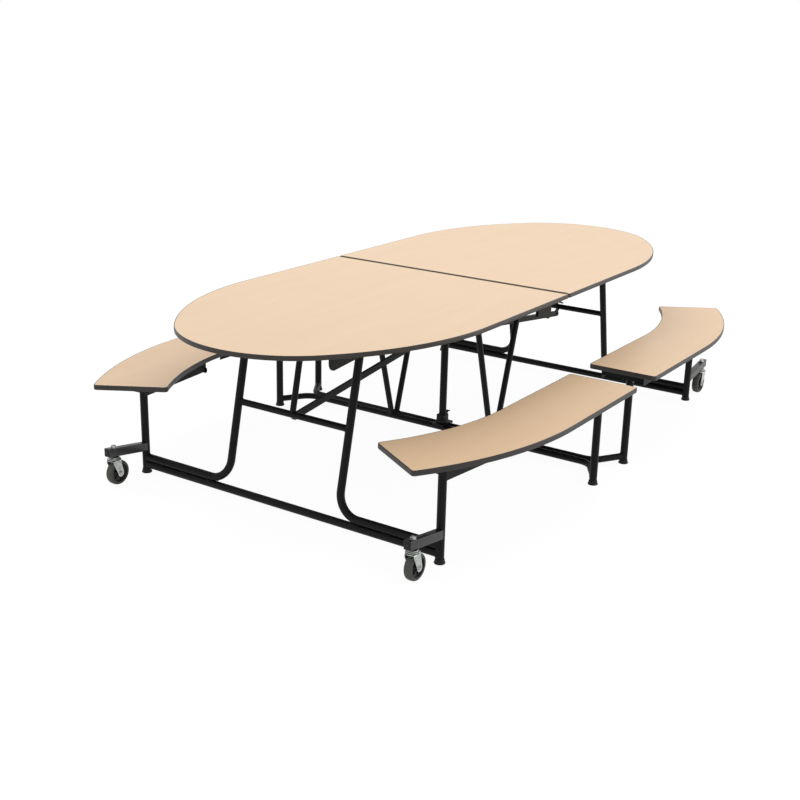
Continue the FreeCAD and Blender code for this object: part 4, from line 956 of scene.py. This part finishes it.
studio = {"floorSize": 60.0, "floorTone": 0.86, "shadowShare": 0.12, "glow": 1.07, "ambient": 0.72,
          "lamps": [("overhead", (0.3, 0.4, 4.6), (0.0, 0.0, 0.4), 5.0, 62.0),
                    ("sideBox", (3.9, -4.8, 1.7), (0.6, -0.6, 0.5), 3.4, 110.0)]}


def seenDirectly(wire):
    # 1 for camera, glossy and transmission rays, 0 for the rays that carry light
    seen = [wire.node("LightPath", out=place) for place in (0, 3, 6)]
    return (seen[0] + seen[1] + seen[2]).clamped()


def makeStudio(settings):
    # pale surroundings, a floor that only takes a faint shadow, and soft area lamps
    world = bpy.data.worlds.new("studio")
    bpy.context.scene.world = world
    world.use_nodes = True
    world.node_tree.nodes.clear()
    root = Wire(world.node_tree)
    level = settings["ambient"]
    colour = seenDirectly(root).mix((level, level, level, 1.0), (1.0, 1.0, 1.0, 1.0))
    root.node("OutputWorld", values={"Surface": root.node("Background", values={"Color": colour})})

    half = settings["floorSize"] / 2
    mesh = bpy.data.meshes.new("floor")
    mesh.from_pydata([(-half, -half, 0), (half, -half, 0), (half, half, 0), (-half, half, 0)], [],
                     [(0, 1, 2, 3)])
    floor = bpy.data.objects.new("floor", mesh)
    bpy.context.scene.collection.objects.link(floor)
    made = bpy.data.materials.new("paleFloor")
    made.use_nodes = True
    made.node_tree.nodes.clear()
    root = Wire(made.node_tree)
    tone = settings["floorTone"]
    matt = root.node("BsdfDiffuse", values={"Color": (tone, tone, tone, 1.0)})
    glow = root.node("Emission", values={"Color": (1.0, 1.0, 1.0, 1.0),
                                         "Strength": settings["glow"]})
    share = seenDirectly(root) * (1 - settings["shadowShare"])
    both = root.node("MixShader", values={0: share, 1: matt, 2: glow})
    root.node("OutputMaterial", values={"Surface": both})
    mesh.materials.append(made)

    for name, place, aim, size, power in settings["lamps"]:
        data = bpy.data.lights.new(name, "AREA")
        data.size = size
        data.energy = power
        lamp = bpy.data.objects.new(name, data)
        bpy.context.scene.collection.objects.link(lamp)
        lamp.location = place
        way = np.array(place) - np.array(aim)
        turn = math.atan2(way[0], -way[1])
        lamp.rotation_euler = (math.atan2(math.hypot(way[0], way[1]), way[2]), 0.0, turn)


placeCamera(camera)
makeStudio(studio)
bpy.context.scene.view_settings.view_transform = "Standard"
print("studio ready")
